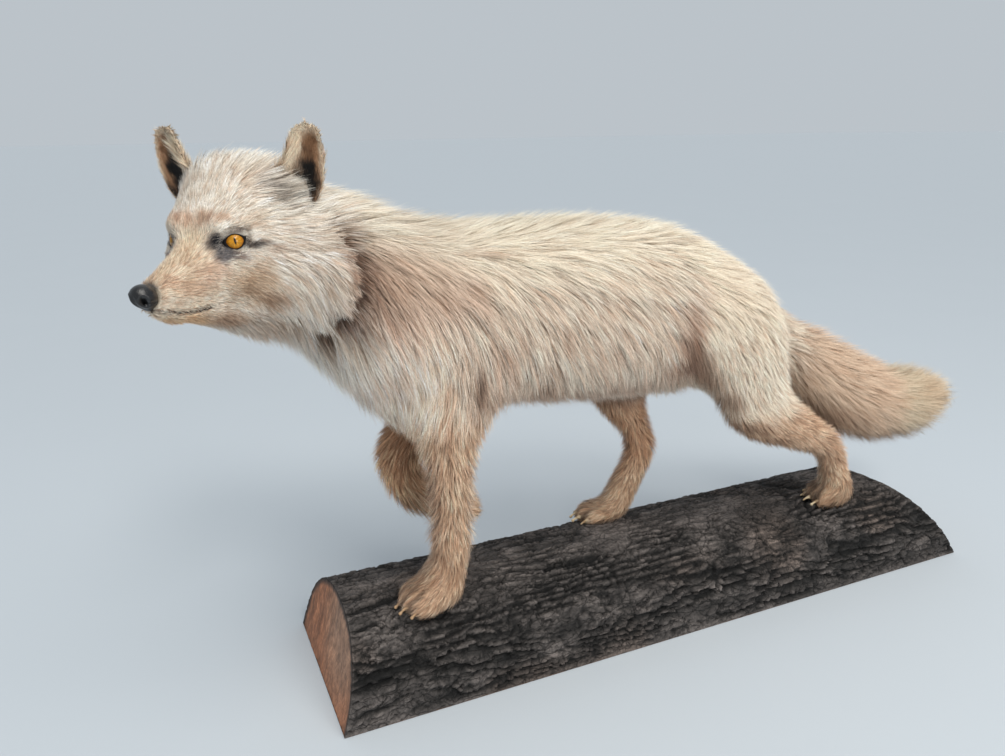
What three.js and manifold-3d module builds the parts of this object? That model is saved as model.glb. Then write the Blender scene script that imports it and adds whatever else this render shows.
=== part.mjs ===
// A taxidermy fox in its pale coat, walking on a bark-covered half log: one fore paw lifted,
// head turned to its left, brush held low behind.
//
// Frame: millimetres, +Z up, +X from the head towards the tail, so the fox faces -X and its left
// side is on -Y. The origin is the middle of the log's flat underside.
//
// The animal is one smooth field of distances, out to the tips of its coat. Each named length of it
// is meshed from that field, and parted from its neighbours by flat cuts.
import * as THREE from "three";
import { mergeVertices } from "three/addons/utils/BufferGeometryUtils.js";
import Module from "manifold-3d";

const wasm = await Module();
wasm.setup();

// ---- driving dimensions ---------------------------------------------------------------------

const GAP = 0.3; // between solids that touch
const WELD = 0.02; // points closer than this become one
const REACH = 900; // half the side of a cutting block, past the whole animal
const BLEND_REACH = 40; // beyond any blend between two masses of flesh

// Half log: a sawn flat below, a rounded back of bark, both ends sawn at a slant.
const LOG = {
  length: 640,
  width: 159,
  height: 73,
  roundness: 2.37,
  head: { skew: -2.5, tilt: 15.6 },
  tail: { skew: -14.5, tilt: -32.5 },
};

// Stations along the body: place of the middle, half width across, half depth in the side view.
const TRUNK = [
  { at: [-228, 0, 297], across: 63, deep: 76 },
  { at: [-190, 0, 300], across: 68, deep: 75 },
  { at: [-140, 0, 297], across: 72, deep: 80 },
  { at: [-80, 0, 295], across: 72, deep: 81 },
  { at: [-20, 0, 289], across: 68, deep: 79 },
  { at: [26, 0, 279], across: 63, deep: 71 },
  { at: [60, 0, 269], across: 56, deep: 59 },
  { at: [84, 0, 257], across: 46, deep: 47 },
];
const NECK = [
  { at: [-206, 0, 298], across: 60, deep: 61 },
  { at: [-256, -6, 321], across: 62, deep: 65 },
  { at: [-288, -9, 341], across: 57, deep: 60 },
  { at: [-308, -10, 350], across: 34, deep: 36 },
];
const TAIL = [
  { at: [92, 0, 266], across: 22, deep: 24 },
  { at: [142, 0, 240], across: 29, deep: 33 },
  { at: [190, 0, 206], across: 36, deep: 41 },
  { at: [236, 0, 175], across: 41, deep: 46 },
  { at: [282, 0, 157], across: 44, deep: 46 },
  { at: [328, 0, 152], across: 41, deep: 43 },
  { at: [364, 0, 151], across: 31, deep: 34 },
];
const FORELEG_LEFT = [
  { at: [-196, -40, 286], across: 24, deep: 40 },
  { at: [-206, -41, 246], across: 20, deep: 31 },
  { at: [-211, -39, 215], across: 17, deep: 25 },
  { at: [-211, -38, 188], across: 16, deep: 21 },
  { at: [-211, -38, 158], across: 15, deep: 19 },
  { at: [-211, -37, 128], across: 15, deep: 16 },
  { at: [-214, -35, 104], across: 16, deep: 16 },
  { at: [-220, -34, 88], across: 18, deep: 18 },
];
const FORELEG_RIGHT = [
  { at: [-160, 36, 272], across: 24, deep: 38 },
  { at: [-192, 34, 226], across: 19, deep: 27 },
  { at: [-221, 31, 199], across: 17, deep: 23 },
  { at: [-236, 29, 178], across: 17, deep: 20 },
  { at: [-231, 29, 153], across: 15, deep: 18 },
  { at: [-212, 30, 134], across: 14, deep: 15 },
  { at: [-192, 32, 127], across: 14, deep: 13 },
];
const HINDLEG_LEFT = [
  { at: [58, -34, 282], across: 32, deep: 42 },
  { at: [65, -46, 242], across: 27, deep: 44 },
  { at: [78, -47, 207], across: 23, deep: 38 },
  { at: [112, -44, 178], across: 19, deep: 27 },
  { at: [150, -41, 156], across: 16, deep: 19 },
  { at: [182, -38, 139], across: 14, deep: 16 },
  { at: [194, -36, 114], across: 13, deep: 15 },
  { at: [204, -34, 90], across: 15, deep: 15 },
];
const HINDLEG_RIGHT = [
  { at: [10, 36, 266], across: 30, deep: 42 },
  { at: [-18, 40, 222], across: 25, deep: 34 },
  { at: [-10, 38, 188], across: 18, deep: 25 },
  { at: [4, 35, 162], across: 14, deep: 18 },
  { at: [12, 33, 143], across: 13, deep: 17 },
  { at: [1, 31, 118], across: 13, deep: 16 },
  { at: [-14, 29, 94], across: 15, deep: 16 },
];

// The four feet: the ankle's place, the way the toes point (degrees from -X towards -Y, and down),
// and the length and width of the foot.
const PAWS = {
  fore_left: { at: [-218, -34, 80], turn: 6, drop: 0, length: 40, width: 44 },
  fore_right: { at: [-196, 32, 128], turn: 176, drop: 18, length: 34, width: 34 },
  hind_left: { at: [211, -34, 80], turn: -22, drop: 0, length: 36, width: 40 },
  hind_right: { at: [-20, 29, 80], turn: -14, drop: 0, length: 40, width: 38 },
};
const TOES = 4;
const TOE_RADIUS = 0.19; // of the foot's width
const CLAW = { length: 11, radius: 1.7, sides: 6, rings: 3, curl: 50 };

// The head has a frame of its own: x to the nose, y to the fox's left, z up, from between the eyes.
// All of it lies in a ball of the given radius about a middle on its x axis.
const HEAD = { at: [-369, -36, 374], turn: 52, pitch: -3, roll: 0.3, middle: -20, radius: 100 };
const EYE = { at: [-7, 19, -1], radius: 8.2, socket: [7, 30, 0], socketRadii: [15, 9, 7] };
const NOSE = { at: [57, 0, -28], size: [8, 8, 7.5] };
const EAR = {
  base: [-46, 45, 26],
  tip: [-42, 56, 69],
  width: 33,
  cup: 11,
  thickness: 5,
  facing: 15,
  clearance: 0.6,
};

// ---- small vector and field helpers ------------------------------------------------------------

const rad = THREE.MathUtils.degToRad;
const vec = (p) => new THREE.Vector3(p[0], p[1], p[2]);
const mirrored = (p) => [p[0], -p[1], p[2]];

function smoothUnion(a, b, blend) {
  const overlap = Math.max(blend - Math.abs(a - b), 0) / blend;
  return Math.min(a, b) - overlap * overlap * blend * 0.25;
}

// Distance to an ellipsoid, good near its surface.
function ellipsoid(center, radii) {
  return (x, y, z) => {
    const dx = x - center[0];
    const dy = y - center[1];
    const dz = z - center[2];
    const scaled = Math.hypot(dx / radii[0], dy / radii[1], dz / radii[2]);
    const length = Math.hypot(dx, dy, dz);
    return scaled < 1e-3 ? -Math.min(...radii) : length * (1 - 1 / scaled);
  };
}

// Distance to a body of elliptical sections strung on a smooth line through its stations.
function sweep(stations, steps = 6) {
  const line = new THREE.CatmullRomCurve3(stations.map((s) => vec(s.at)));
  const widths = new THREE.SplineCurve(stations.map((s) => new THREE.Vector2(s.across, s.deep)));
  const count = (stations.length - 1) * steps;
  const rings = [];
  for (let i = 0; i <= count; i++) {
    const t = i / count;
    const along = line.getTangent(t);
    const side = new THREE.Vector3(0, 1, 0).addScaledVector(along, -along.y).normalize();
    const size = widths.getPoint(t);
    rings.push({
      at: line.getPoint(t),
      along,
      side,
      up: new THREE.Vector3().crossVectors(along, side),
      across: size.x,
      deep: size.y,
    });
  }
  return nearOnly(rings, (x, y, z) => nearestRing(rings, x, y, z));
}

// Past the reach of any blend, a body's distance is taken to its bounding box instead.
function nearOnly(rings, distance) {
  const hull = new THREE.Box3();
  for (const ring of rings) {
    const ball = new THREE.Sphere(ring.at, Math.max(ring.across, ring.deep));
    hull.union(ball.getBoundingBox(new THREE.Box3()));
  }
  const point = new THREE.Vector3();
  return (x, y, z) => {
    const away = hull.distanceToPoint(point.set(x, y, z));
    return away > BLEND_REACH ? away : distance(x, y, z);
  };
}

function nearestRing(rings, x, y, z) {
  let best = Infinity;
  let ring = 0;
  let share = 0;
  for (let i = 0; i + 1 < rings.length; i++) {
    const a = rings[i].at;
    const b = rings[i + 1].at;
    const ux = b.x - a.x;
    const uy = b.y - a.y;
    const uz = b.z - a.z;
    const run = ((x - a.x) * ux + (y - a.y) * uy + (z - a.z) * uz) / (ux * ux + uy * uy + uz * uz);
    const t = Math.min(Math.max(run, 0), 1);
    const away = Math.hypot(x - a.x - t * ux, y - a.y - t * uy, z - a.z - t * uz);
    if (away < best) {
      best = away;
      ring = i;
      share = t;
    }
  }
  return sectionDistance(rings[ring], rings[ring + 1], share, x, y, z);
}

function sectionDistance(a, b, t, x, y, z) {
  const mix = (u, v) => u + (v - u) * t;
  const dx = x - mix(a.at.x, b.at.x);
  const dy = y - mix(a.at.y, b.at.y);
  const dz = z - mix(a.at.z, b.at.z);
  const part = (u, v) => dx * mix(u.x, v.x) + dy * mix(u.y, v.y) + dz * mix(u.z, v.z);
  const across = mix(a.across, b.across);
  const deep = mix(a.deep, b.deep);
  const cap = Math.min(across, deep);
  const scaled = Math.hypot(
    part(a.side, b.side) / across,
    part(a.up, b.up) / deep,
    part(a.along, b.along) / cap,
  );
  return scaled < 1e-3 ? -cap : Math.hypot(dx, dy, dz) * (1 - 1 / scaled);
}

// ---- the head ----------------------------------------------------------------------------------

const headFrame = new THREE.Matrix4()
  .makeTranslation(...HEAD.at)
  .multiply(new THREE.Matrix4().makeRotationZ(Math.PI + rad(HEAD.turn)))
  .multiply(new THREE.Matrix4().makeRotationY(rad(HEAD.pitch)))
  .multiply(new THREE.Matrix4().makeRotationX(rad(HEAD.roll)));
const intoHead = headFrame.clone().invert().elements;

const MUZZLE = [
  { at: [-24, 0, -17], across: 30, deep: 28 },
  { at: [6, 0, -21], across: 22, deep: 22 },
  { at: [27, 0, -24.5], across: 16.5, deep: 16.5 },
  { at: [47, 0, -29.5], across: 12, deep: 12.5 },
];
const JAW = [
  { at: [-58, 8, -50], across: 36, deep: 25 },
  { at: [-12, 0, -45], across: 23, deep: 15 },
  { at: [16, 0, -43], across: 13, deep: 9 },
  { at: [37, 0, -42], across: 9, deep: 6.5 },
];
// Rounded masses that blend with the muzzle: place, radii and blend, and whether both sides have it.
const SKULL = [
  { at: [-46, 0, 9], radii: [43, 46, 48], blend: 18 },
  { at: [-78, 38, 5], radii: [36, 36, 36], blend: 18 },
  { at: [-16, 0, 4], radii: [24, 26, 20], blend: 16 },
  { at: [0, 15, 8], radii: [12, 11, 7], blend: 8, both: true },
  { at: [-24, 24, -18], radii: [24, 14, 22], blend: 12, both: true },
  { at: [-62, 40, -26], radii: [34, 27, 37], blend: 20, both: true },
];

function headField() {
  const masses = [
    { distance: sweep(MUZZLE), blend: 16 },
    { distance: sweep(JAW), blend: 10 },
  ];
  for (const { at, radii, blend, both } of SKULL) {
    masses.push({ distance: ellipsoid(at, radii), blend });
    if (both) masses.push({ distance: ellipsoid(mirrored(at), radii), blend });
  }
  const m = intoHead;
  return (x, y, z) => {
    const hx = m[0] * x + m[4] * y + m[8] * z + m[12];
    const hy = m[1] * x + m[5] * y + m[9] * z + m[13];
    const hz = m[2] * x + m[6] * y + m[10] * z + m[14];
    const away = Math.hypot(hx - HEAD.middle, hy, hz) - HEAD.radius;
    if (away > BLEND_REACH) return away;
    return masses.reduce((d, mass) => smoothUnion(d, mass.distance(hx, hy, hz), mass.blend), Infinity);
  };
}

// ---- paws --------------------------------------------------------------------------------------

function toeLines(paw) {
  const heading = rad(180 + paw.turn);
  const forward = new THREE.Vector3(Math.cos(heading), Math.sin(heading), 0);
  const left = new THREE.Vector3(-forward.y, forward.x, 0);
  const down = new THREE.Vector3(0, 0, -1).applyAxisAngle(left, rad(paw.drop));
  forward.applyAxisAngle(left, rad(paw.drop));
  const radius = paw.width * TOE_RADIUS;
  const lines = [];
  for (let i = 0; i < TOES; i++) {
    const spread = (i - (TOES - 1) / 2) / ((TOES - 1) / 2);
    const reach = paw.length * (1 - 0.17 * spread * spread) - radius;
    const side = spread * (paw.width / 2 - radius);
    const root = vec(paw.at).addScaledVector(left, side * 0.6).addScaledVector(down, 1);
    const tip = vec(paw.at)
      .addScaledVector(forward, reach)
      .addScaledVector(left, side * 1.08)
      .addScaledVector(down, 5);
    lines.push({ root, tip, radius, forward, left, down });
  }
  return lines;
}

function pawField(paw) {
  const toes = toeLines(paw).map((toe) =>
    sweep(
      [
        { at: toe.root.toArray(), across: toe.radius * 1.25, deep: toe.radius * 1.5 },
        { at: toe.tip.toArray(), across: toe.radius, deep: toe.radius * 1.05 },
      ],
      2,
    ),
  );
  return (x, y, z) => toes.reduce((d, toe) => smoothUnion(d, toe(x, y, z), 5), Infinity);
}

// ---- the whole animal as one field -------------------------------------------------------------

// A leg and its foot.
function leg(stations, paw) {
  const shaft = sweep(stations);
  const foot = pawField(paw);
  return (x, y, z) => smoothUnion(shaft(x, y, z), foot(x, y, z), 10);
}

const BODY = [
  { distance: sweep(TRUNK), blend: 1 },
  { distance: sweep(NECK), blend: 36 },
  { distance: headField(), blend: 24 },
];
const LIMBS = {
  tail: { distance: sweep(TAIL), blend: 22 },
  fore_left: { distance: leg(FORELEG_LEFT, PAWS.fore_left), blend: 20 },
  fore_right: { distance: leg(FORELEG_RIGHT, PAWS.fore_right), blend: 20 },
  hind_left: { distance: leg(HINDLEG_LEFT, PAWS.hind_left), blend: 24 },
  hind_right: { distance: leg(HINDLEG_RIGHT, PAWS.hind_right), blend: 24 },
};

// The body with the limbs named: each blends with the body but not with another limb.
function withLimbs(names) {
  const limbs = names.map((name) => LIMBS[name]);
  return (x, y, z) => {
    const body = BODY.reduce((d, part) => smoothUnion(d, part.distance(x, y, z), part.blend), Infinity);
    const joined = limbs.map((limb) => smoothUnion(body, limb.distance(x, y, z), limb.blend));
    return Math.min(body, ...joined);
  };
}

const fox = withLimbs(Object.keys(LIMBS));

// ---- meshing -----------------------------------------------------------------------------------

// Where a grid square has its corners in and out crosswise, two sheets of skin would share an edge,
// so the shallower of its outer corners is filled.
function unpinched(values, counts, stride, cell) {
  const fill = -cell * 0.05;
  let filled = 1;
  while (filled > 0) {
    filled = 0;
    for (let axis = 0; axis < 3; axis++) {
      const u = stride[(axis + 1) % 3];
      const v = stride[(axis + 2) % 3];
      for (let home = 0; home + u + v < values.length; home++) {
        const square = [home, home + u, home + u + v, home + v];
        const [a, b, c, d] = square.map((n) => values[n] < 0);
        if (a !== c || b !== d || a === b) continue;
        const outside = square.filter((n) => values[n] >= 0);
        const shallow = values[outside[0]] < values[outside[1]] ? outside[0] : outside[1];
        values[shallow] = fill;
        filled++;
      }
    }
  }
}

// One vertex in each grid cell that the surface crosses, one four-sided face across each crossed edge.
function meshed(field, low, high, cell) {
  const counts = low.map((l, axis) => Math.ceil((high[axis] - l) / cell) + 1);
  const stride = [1, counts[0], counts[0] * counts[1]];
  const values = new Float32Array(counts[0] * counts[1] * counts[2]);
  const place = (i, j, k) => [low[0] + i * cell, low[1] + j * cell, low[2] + k * cell];
  for (let k = 0; k < counts[2]; k++)
    for (let j = 0; j < counts[1]; j++)
      for (let i = 0; i < counts[0]; i++) {
        const edge = [i, j, k].some((n, axis) => n === 0 || n === counts[axis] - 1);
        const value = field(...place(i, j, k));
        values[i + j * stride[1] + k * stride[2]] = edge ? Math.max(value, cell * 0.4) : value;
      }
  unpinched(values, counts, stride, cell);
  const positions = [];
  const vertexOf = new Map();
  const corners = [0, 1, 2, 3, 4, 5, 6, 7].map((c) => [c & 1, (c >> 1) & 1, c >> 2]);
  for (let k = 0; k + 1 < counts[2]; k++)
    for (let j = 0; j + 1 < counts[1]; j++)
      for (let i = 0; i + 1 < counts[0]; i++) {
        const home = i + j * stride[1] + k * stride[2];
        const at = corners.map((c) => values[home + c[0] + c[1] * stride[1] + c[2] * stride[2]]);
        const inside = at.filter((v) => v < 0).length;
        if (inside === 0 || inside === 8) continue;
        const sum = [0, 0, 0];
        let crossings = 0;
        for (let a = 0; a < 8; a++)
          for (const bit of [1, 2, 4]) {
            const b = a | bit;
            if (b === a || at[a] < 0 === at[b] < 0) continue;
            const t = at[a] / (at[a] - at[b]);
            for (let axis = 0; axis < 3; axis++)
              sum[axis] += corners[a][axis] + t * (corners[b][axis] - corners[a][axis]);
            crossings++;
          }
        const corner = place(i, j, k);
        const point = corner.map((p, axis) => p + (sum[axis] / crossings) * cell);
        vertexOf.set(home, positions.length / 3);
        positions.push(...keptInCell(ontoSurface(field, point, cell), corner, cell));
      }
  const faces = [];
  for (let k = 0; k + 1 < counts[2]; k++)
    for (let j = 0; j + 1 < counts[1]; j++)
      for (let i = 0; i + 1 < counts[0]; i++) {
        const home = i + j * stride[1] + k * stride[2];
        for (let axis = 0; axis < 3; axis++) {
          const here = values[home] < 0;
          if (here === values[home + stride[axis]] < 0) continue;
          const u = stride[(axis + 1) % 3];
          const v = stride[(axis + 2) % 3];
          const ring = [home, home - u, home - u - v, home - v].map((c) => vertexOf.get(c));
          if (!here) ring.reverse();
          faces.push(...splitQuad(positions, ring));
        }
      }
  const geometry = new THREE.BufferGeometry();
  geometry.setAttribute("position", new THREE.Float32BufferAttribute(positions, 3));
  geometry.setIndex(faces);
  return geometry;
}

// Moves a point along the field's slope until it lies on the surface, at most one cell.
function ontoSurface(field, point, cell) {
  const step = 0.5;
  const [x0, y0, z0] = point;
  let [x, y, z] = point;
  for (let round = 0; round < 3; round++) {
    const d = field(x, y, z);
    const gx = (field(x + step, y, z) - field(x - step, y, z)) / (2 * step);
    const gy = (field(x, y + step, z) - field(x, y - step, z)) / (2 * step);
    const gz = (field(x, y, z + step) - field(x, y, z - step)) / (2 * step);
    const square = gx * gx + gy * gy + gz * gz;
    if (square < 1e-6 || Math.abs(d) > cell) return [x0, y0, z0];
    x -= (d * gx) / square;
    y -= (d * gy) / square;
    z -= (d * gz) / square;
  }
  return Math.hypot(x - x0, y - y0, z - z0) < cell ? [x, y, z] : [x0, y0, z0];
}

// A vertex that leaves its own cell could fold the mesh over itself.
function keptInCell(point, corner, cell) {
  const wall = cell * 0.06;
  return point.map((p, axis) => Math.min(Math.max(p, corner[axis] + wall), corner[axis] + cell - wall));
}

function splitQuad(positions, [a, b, c, d]) {
  const gap = (p, q) =>
    Math.hypot(
      positions[3 * p] - positions[3 * q],
      positions[3 * p + 1] - positions[3 * q + 1],
      positions[3 * p + 2] - positions[3 * q + 2],
    );
  return gap(a, c) < gap(b, d) ? [a, b, c, a, c, d] : [a, b, d, b, c, d];
}

// ---- solids ------------------------------------------------------------------------------------

function solidOf(geometry) {
  const bare = geometry.clone();
  bare.deleteAttribute("normal");
  bare.deleteAttribute("uv");
  const merged = mergeVertices(bare, 1e-4);
  return new wasm.Manifold(
    new wasm.Mesh({
      numProp: 3,
      vertProperties: merged.attributes.position.array,
      triVerts: new Uint32Array(merged.index.array),
    }),
  );
}

// The largest body of a solid, so that a crumb left by a cut is dropped.
function mainBody(solid) {
  return solid.decompose().sort((a, b) => b.volume() - a.volume())[0];
}

// A solid's faces, with points welded to a fine grid, less those that the welding flattens.
function geometryOf(solid) {
  const mesh = solid.getMesh();
  const corners = new Map();
  const positions = [];
  const weld = (i) => {
    const point = Array.from(mesh.vertProperties.subarray(i * mesh.numProp, i * mesh.numProp + 3));
    const key = point.map((v) => Math.round(v / WELD)).join();
    if (!corners.has(key)) {
      corners.set(key, positions.length / 3);
      positions.push(...point);
    }
    return corners.get(key);
  };
  const faces = new Map();
  for (let i = 0; i < mesh.triVerts.length; i += 3) {
    const face = [0, 1, 2].map((k) => weld(mesh.triVerts[i + k]));
    if (new Set(face).size < 3) continue;
    const key = [...face].sort((a, b) => a - b).join();
    if (faces.has(key)) faces.delete(key);
    else faces.set(key, face);
  }
  const geometry = new THREE.BufferGeometry();
  geometry.setAttribute("position", new THREE.Float32BufferAttribute(positions, 3));
  geometry.setIndex([...faces.values()].flat());
  geometry.computeVertexNormals();
  return geometry;
}

// A block that fills the half space behind a plane, up to the plane less a margin.
function behind(point, normal, margin) {
  const block = new THREE.BoxGeometry(2 * REACH, 2 * REACH, 2 * REACH).translate(0, 0, -REACH);
  const turn = new THREE.Quaternion().setFromUnitVectors(new THREE.Vector3(0, 0, 1), normal);
  const top = vec(point).addScaledVector(normal, -margin);
  return solidOf(block.applyQuaternion(turn).translate(top.x, top.y, top.z));
}

// A prism through the side view: its outline in x and z, from one y to another, grown by a margin.
function prism(outline, [low, high], margin) {
  const corners = outline.map(([x, z]) => new THREE.Vector2(x, z));
  const turn = THREE.ShapeUtils.isClockWise(corners) ? -1 : 1;
  const grown = corners.map((p, i) => {
    const before = corners[(i + corners.length - 1) % corners.length];
    const after = corners[(i + 1) % corners.length];
    const a = new THREE.Vector2(p.y - before.y, before.x - p.x).normalize().multiplyScalar(turn);
    const b = new THREE.Vector2(after.y - p.y, p.x - after.x).normalize().multiplyScalar(turn);
    return p.clone().addScaledVector(a.clone().add(b), margin / (1 + a.dot(b)));
  });
  const depth = high - low + 2 * margin;
  const geometry = new THREE.ExtrudeGeometry(new THREE.Shape(grown), { depth, bevelEnabled: false });
  geometry.rotateX(Math.PI / 2);
  return solidOf(geometry.translate(0, high + margin, 0));
}

// ---- the log -----------------------------------------------------------------------------------

// A D-shaped section along x, its ends leaned and turned; grown a little where it cuts the paws.
function logSolid(margin) {
  const half = LOG.width / 2 + margin;
  const top = LOG.height + margin;
  const arc = [];
  const arcSteps = 16;
  for (let i = 0; i <= arcSteps; i++) {
    const angle = (Math.PI * i) / arcSteps;
    const power = 2 / LOG.roundness;
    const y = -Math.sign(Math.cos(angle)) * Math.abs(Math.cos(angle)) ** power * half;
    arc.push(new THREE.Vector2(y, Math.sin(angle) ** power * top));
  }
  const depth = 1;
  const steps = 10;
  const log = new THREE.ExtrudeGeometry(new THREE.Shape(arc), { depth, steps, bevelEnabled: false });
  const p = log.attributes.position;
  const slant = (end, y, z) => y * Math.tan(rad(end.skew)) + z * Math.tan(rad(end.tilt));
  for (let i = 0; i < p.count; i++) {
    const [y, z, along] = [p.getX(i), p.getY(i), p.getZ(i)];
    const start = -LOG.length / 2 + slant(LOG.head, y, z) - margin;
    const end = LOG.length / 2 + slant(LOG.tail, y, z) + margin;
    p.setXYZ(i, start + along * (end - start), y, z);
  }
  return solidOf(log);
}

// ---- ears, eyes, nose and claws ------------------------------------------------------------------

// A cupped leaf: its back and its hollow front meet in the rim, and its foot is closed.
function earGeometry(side) {
  const base = vec([EAR.base[0], EAR.base[1] * side, EAR.base[2]]);
  const tip = vec([EAR.tip[0], EAR.tip[1] * side, EAR.tip[2]]);
  const up = tip.clone().sub(base);
  const height = up.length();
  up.normalize();
  const front = new THREE.Vector3(Math.cos(rad(EAR.facing)), side * Math.sin(rad(EAR.facing)), 0);
  front.addScaledVector(up, -front.dot(up)).normalize();
  const across = new THREE.Vector3().crossVectors(up, front);
  const rows = 8;
  const columns = 6;
  const positions = [];
  const faces = [];
  const sheet = (offset) => {
    for (let i = 0; i <= rows; i++)
      for (let j = 0; j <= columns; j++) {
        const turn = (Math.PI / 2) * (i / rows) ** 1.25;
        const v = Math.sin(turn);
        const u = (2 * j) / columns - 1;
        const half = (EAR.width / 2) * Math.cos(turn) ** 0.75 + 0.6;
        const rim = (1 - u * u) * Math.min(1, (1 - v) * 3 + 0.15);
        const depth = -EAR.cup * (1 - u * u) * (1 - 0.75 * v) + (0.3 + rim) * offset;
        const lift = (v * 1.3 - 0.3) * height;
        positions.push(
          ...base
            .clone()
            .addScaledVector(across, u * half)
            .addScaledVector(up, lift)
            .addScaledVector(front, depth)
            .toArray(),
        );
      }
  };
  sheet(EAR.thickness / 2);
  sheet(-EAR.thickness / 2);
  const at = (layer, i, j) => layer * (rows + 1) * (columns + 1) + i * (columns + 1) + j;
  const quad = (a, b, c, d) => faces.push(a, b, c, a, c, d);
  for (let i = 0; i < rows; i++) {
    for (let j = 0; j < columns; j++) {
      quad(at(0, i, j), at(0, i, j + 1), at(0, i + 1, j + 1), at(0, i + 1, j));
      quad(at(1, i, j + 1), at(1, i, j), at(1, i + 1, j), at(1, i + 1, j + 1));
    }
    quad(at(1, i, 0), at(0, i, 0), at(0, i + 1, 0), at(1, i + 1, 0));
    quad(at(0, i, columns), at(1, i, columns), at(1, i + 1, columns), at(0, i + 1, columns));
  }
  for (let j = 0; j < columns; j++) {
    quad(at(1, 0, j), at(1, 0, j + 1), at(0, 0, j + 1), at(0, 0, j));
    quad(at(0, rows, j), at(0, rows, j + 1), at(1, rows, j + 1), at(1, rows, j));
  }
  const geometry = new THREE.BufferGeometry();
  geometry.setAttribute("position", new THREE.Float32BufferAttribute(positions, 3));
  geometry.setIndex(faces);
  return geometry;
}

function ballInHead(place, size, margin) {
  const ball = new THREE.SphereGeometry(1, 12, 8);
  ball.scale(size[0] + margin, size[1] + margin, size[2] + margin).translate(...place);
  return solidOf(ball.applyMatrix4(headFrame));
}

// A curved cone from inside the toe, its point turned down.
function clawSolid(toe, margin) {
  const rows = CLAW.rings;
  const spine = [];
  const start = toe.tip.clone().addScaledVector(toe.forward, toe.radius * 0.35);
  const step = CLAW.length / rows;
  const heading = toe.forward.clone().addScaledVector(toe.down, 0.25).normalize();
  const sideways = new THREE.Vector3().crossVectors(toe.down, toe.forward).normalize();
  for (let i = 0; i <= rows; i++) {
    spine.push({ at: start.clone(), heading: heading.clone(), size: CLAW.radius * (1 - i / rows) ** 0.7 });
    start.addScaledVector(heading, step);
    heading.applyAxisAngle(sideways, -rad(CLAW.curl / rows));
  }
  const positions = [];
  spine.slice(0, rows).forEach((ring) => {
    const up = new THREE.Vector3().crossVectors(ring.heading, sideways).normalize();
    for (let k = 0; k < CLAW.sides; k++) {
      const angle = (2 * Math.PI * k) / CLAW.sides;
      const point = ring.at.clone().addScaledVector(sideways, Math.cos(angle) * (ring.size * 0.8 + margin));
      positions.push(...point.addScaledVector(up, Math.sin(angle) * (ring.size + margin)).toArray());
    }
  });
  positions.push(...spine[rows].at.clone().addScaledVector(spine[rows].heading, margin).toArray());
  positions.push(...spine[0].at.clone().addScaledVector(spine[0].heading, -margin).toArray());
  const faces = [];
  for (let i = 0; i < rows; i++)
    for (let k = 0; k < CLAW.sides; k++) {
      const next = (k + 1) % CLAW.sides;
      const [a, b] = [i * CLAW.sides + k, i * CLAW.sides + next];
      if (i + 1 === rows) faces.push(a, b, rows * CLAW.sides);
      else faces.push(a, b, b + CLAW.sides, a, b + CLAW.sides, a + CLAW.sides);
      if (i === 0) faces.push(b, a, rows * CLAW.sides + 1);
    }
  const geometry = new THREE.BufferGeometry();
  geometry.setAttribute("position", new THREE.Float32BufferAttribute(positions, 3));
  geometry.setIndex(faces);
  return solidOf(geometry);
}

// ---- where the animal is parted ------------------------------------------------------------------

// Planes across the neck, the trunk and the tail: a point on each and its normal, towards the tail.
const CUTS = {
  head: { at: [-300, -20, 350], normal: [0.85, 0.5, -0.15] },
  neck: { at: [-235, 0, 310], normal: [0.88, 0, -0.47] },
  chest: { at: [-112, 0, 300], normal: [1, 0, 0] },
  loin: { at: [-2, 0, 290], normal: [1, 0, 0] },
  root: { at: [146, 0, 250], normal: [0.93, 0, -0.36] },
  brush: { at: [268, 0, 160], normal: [1, 0, -0.1] },
};
for (const cut of Object.values(CUTS)) cut.normal = vec(cut.normal).normalize();

// The size of a grid cell for each sort of part, and the two sides of the middle.
const CELL = { head: 11, neck: 17, trunk: 23, thigh: 18.5, limb: 14.5, paw: 11 };
const LEFT = [-110, -6];
const RIGHT = [-6, 110];

// Each leg's lengths as outlines in the side view (x, z), on one side of the middle.
const LEGS = {
  forearm_left: {
    limb: "fore_left",
    side: LEFT,
    cell: CELL.limb,
    outline: [[-262, 240], [-172, 240], [-172, 132], [-262, 132]],
  },
  paw_fore_left: {
    limb: "fore_left",
    side: LEFT,
    cell: CELL.paw,
    outline: [[-290, 132], [-172, 132], [-172, 40], [-290, 40]],
  },
  forearm_right: {
    limb: "fore_right",
    side: RIGHT,
    cell: CELL.limb,
    outline: [[-275, 232], [-172, 240], [-180, 158], [-275, 132]],
  },
  paw_fore_right: {
    limb: "fore_right",
    side: RIGHT,
    cell: CELL.paw,
    outline: [[-275, 132], [-180, 158], [-120, 158], [-120, 60], [-275, 60]],
  },
  thigh_left: {
    limb: "hind_left",
    side: LEFT,
    cell: CELL.thigh,
    outline: [[12, 196], [12, 290], [86, 300], [130, 250], [126, 196]],
  },
  shank_left: {
    limb: "hind_left",
    side: LEFT,
    cell: CELL.limb,
    outline: [[12, 196], [126, 196], [178, 168], [214, 140], [170, 120], [60, 120]],
  },
  paw_hind_left: {
    limb: "hind_left",
    side: LEFT,
    cell: CELL.paw,
    outline: [[170, 120], [214, 140], [234, 116], [260, 90], [260, 40], [130, 40]],
  },
  thigh_right: {
    limb: "hind_right",
    side: RIGHT,
    cell: CELL.thigh,
    outline: [[-62, 206], [-40, 280], [40, 280], [60, 206]],
  },
  shank_right: {
    limb: "hind_right",
    side: RIGHT,
    cell: CELL.limb,
    outline: [[-62, 206], [60, 206], [50, 130], [-30, 130]],
  },
  paw_hind_right: {
    limb: "hind_right",
    side: RIGHT,
    cell: CELL.paw,
    outline: [[-30, 130], [50, 130], [50, 40], [-90, 40], [-90, 130]],
  },
};
const FORELEGS = ["forearm_left", "forearm_right"];
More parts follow.
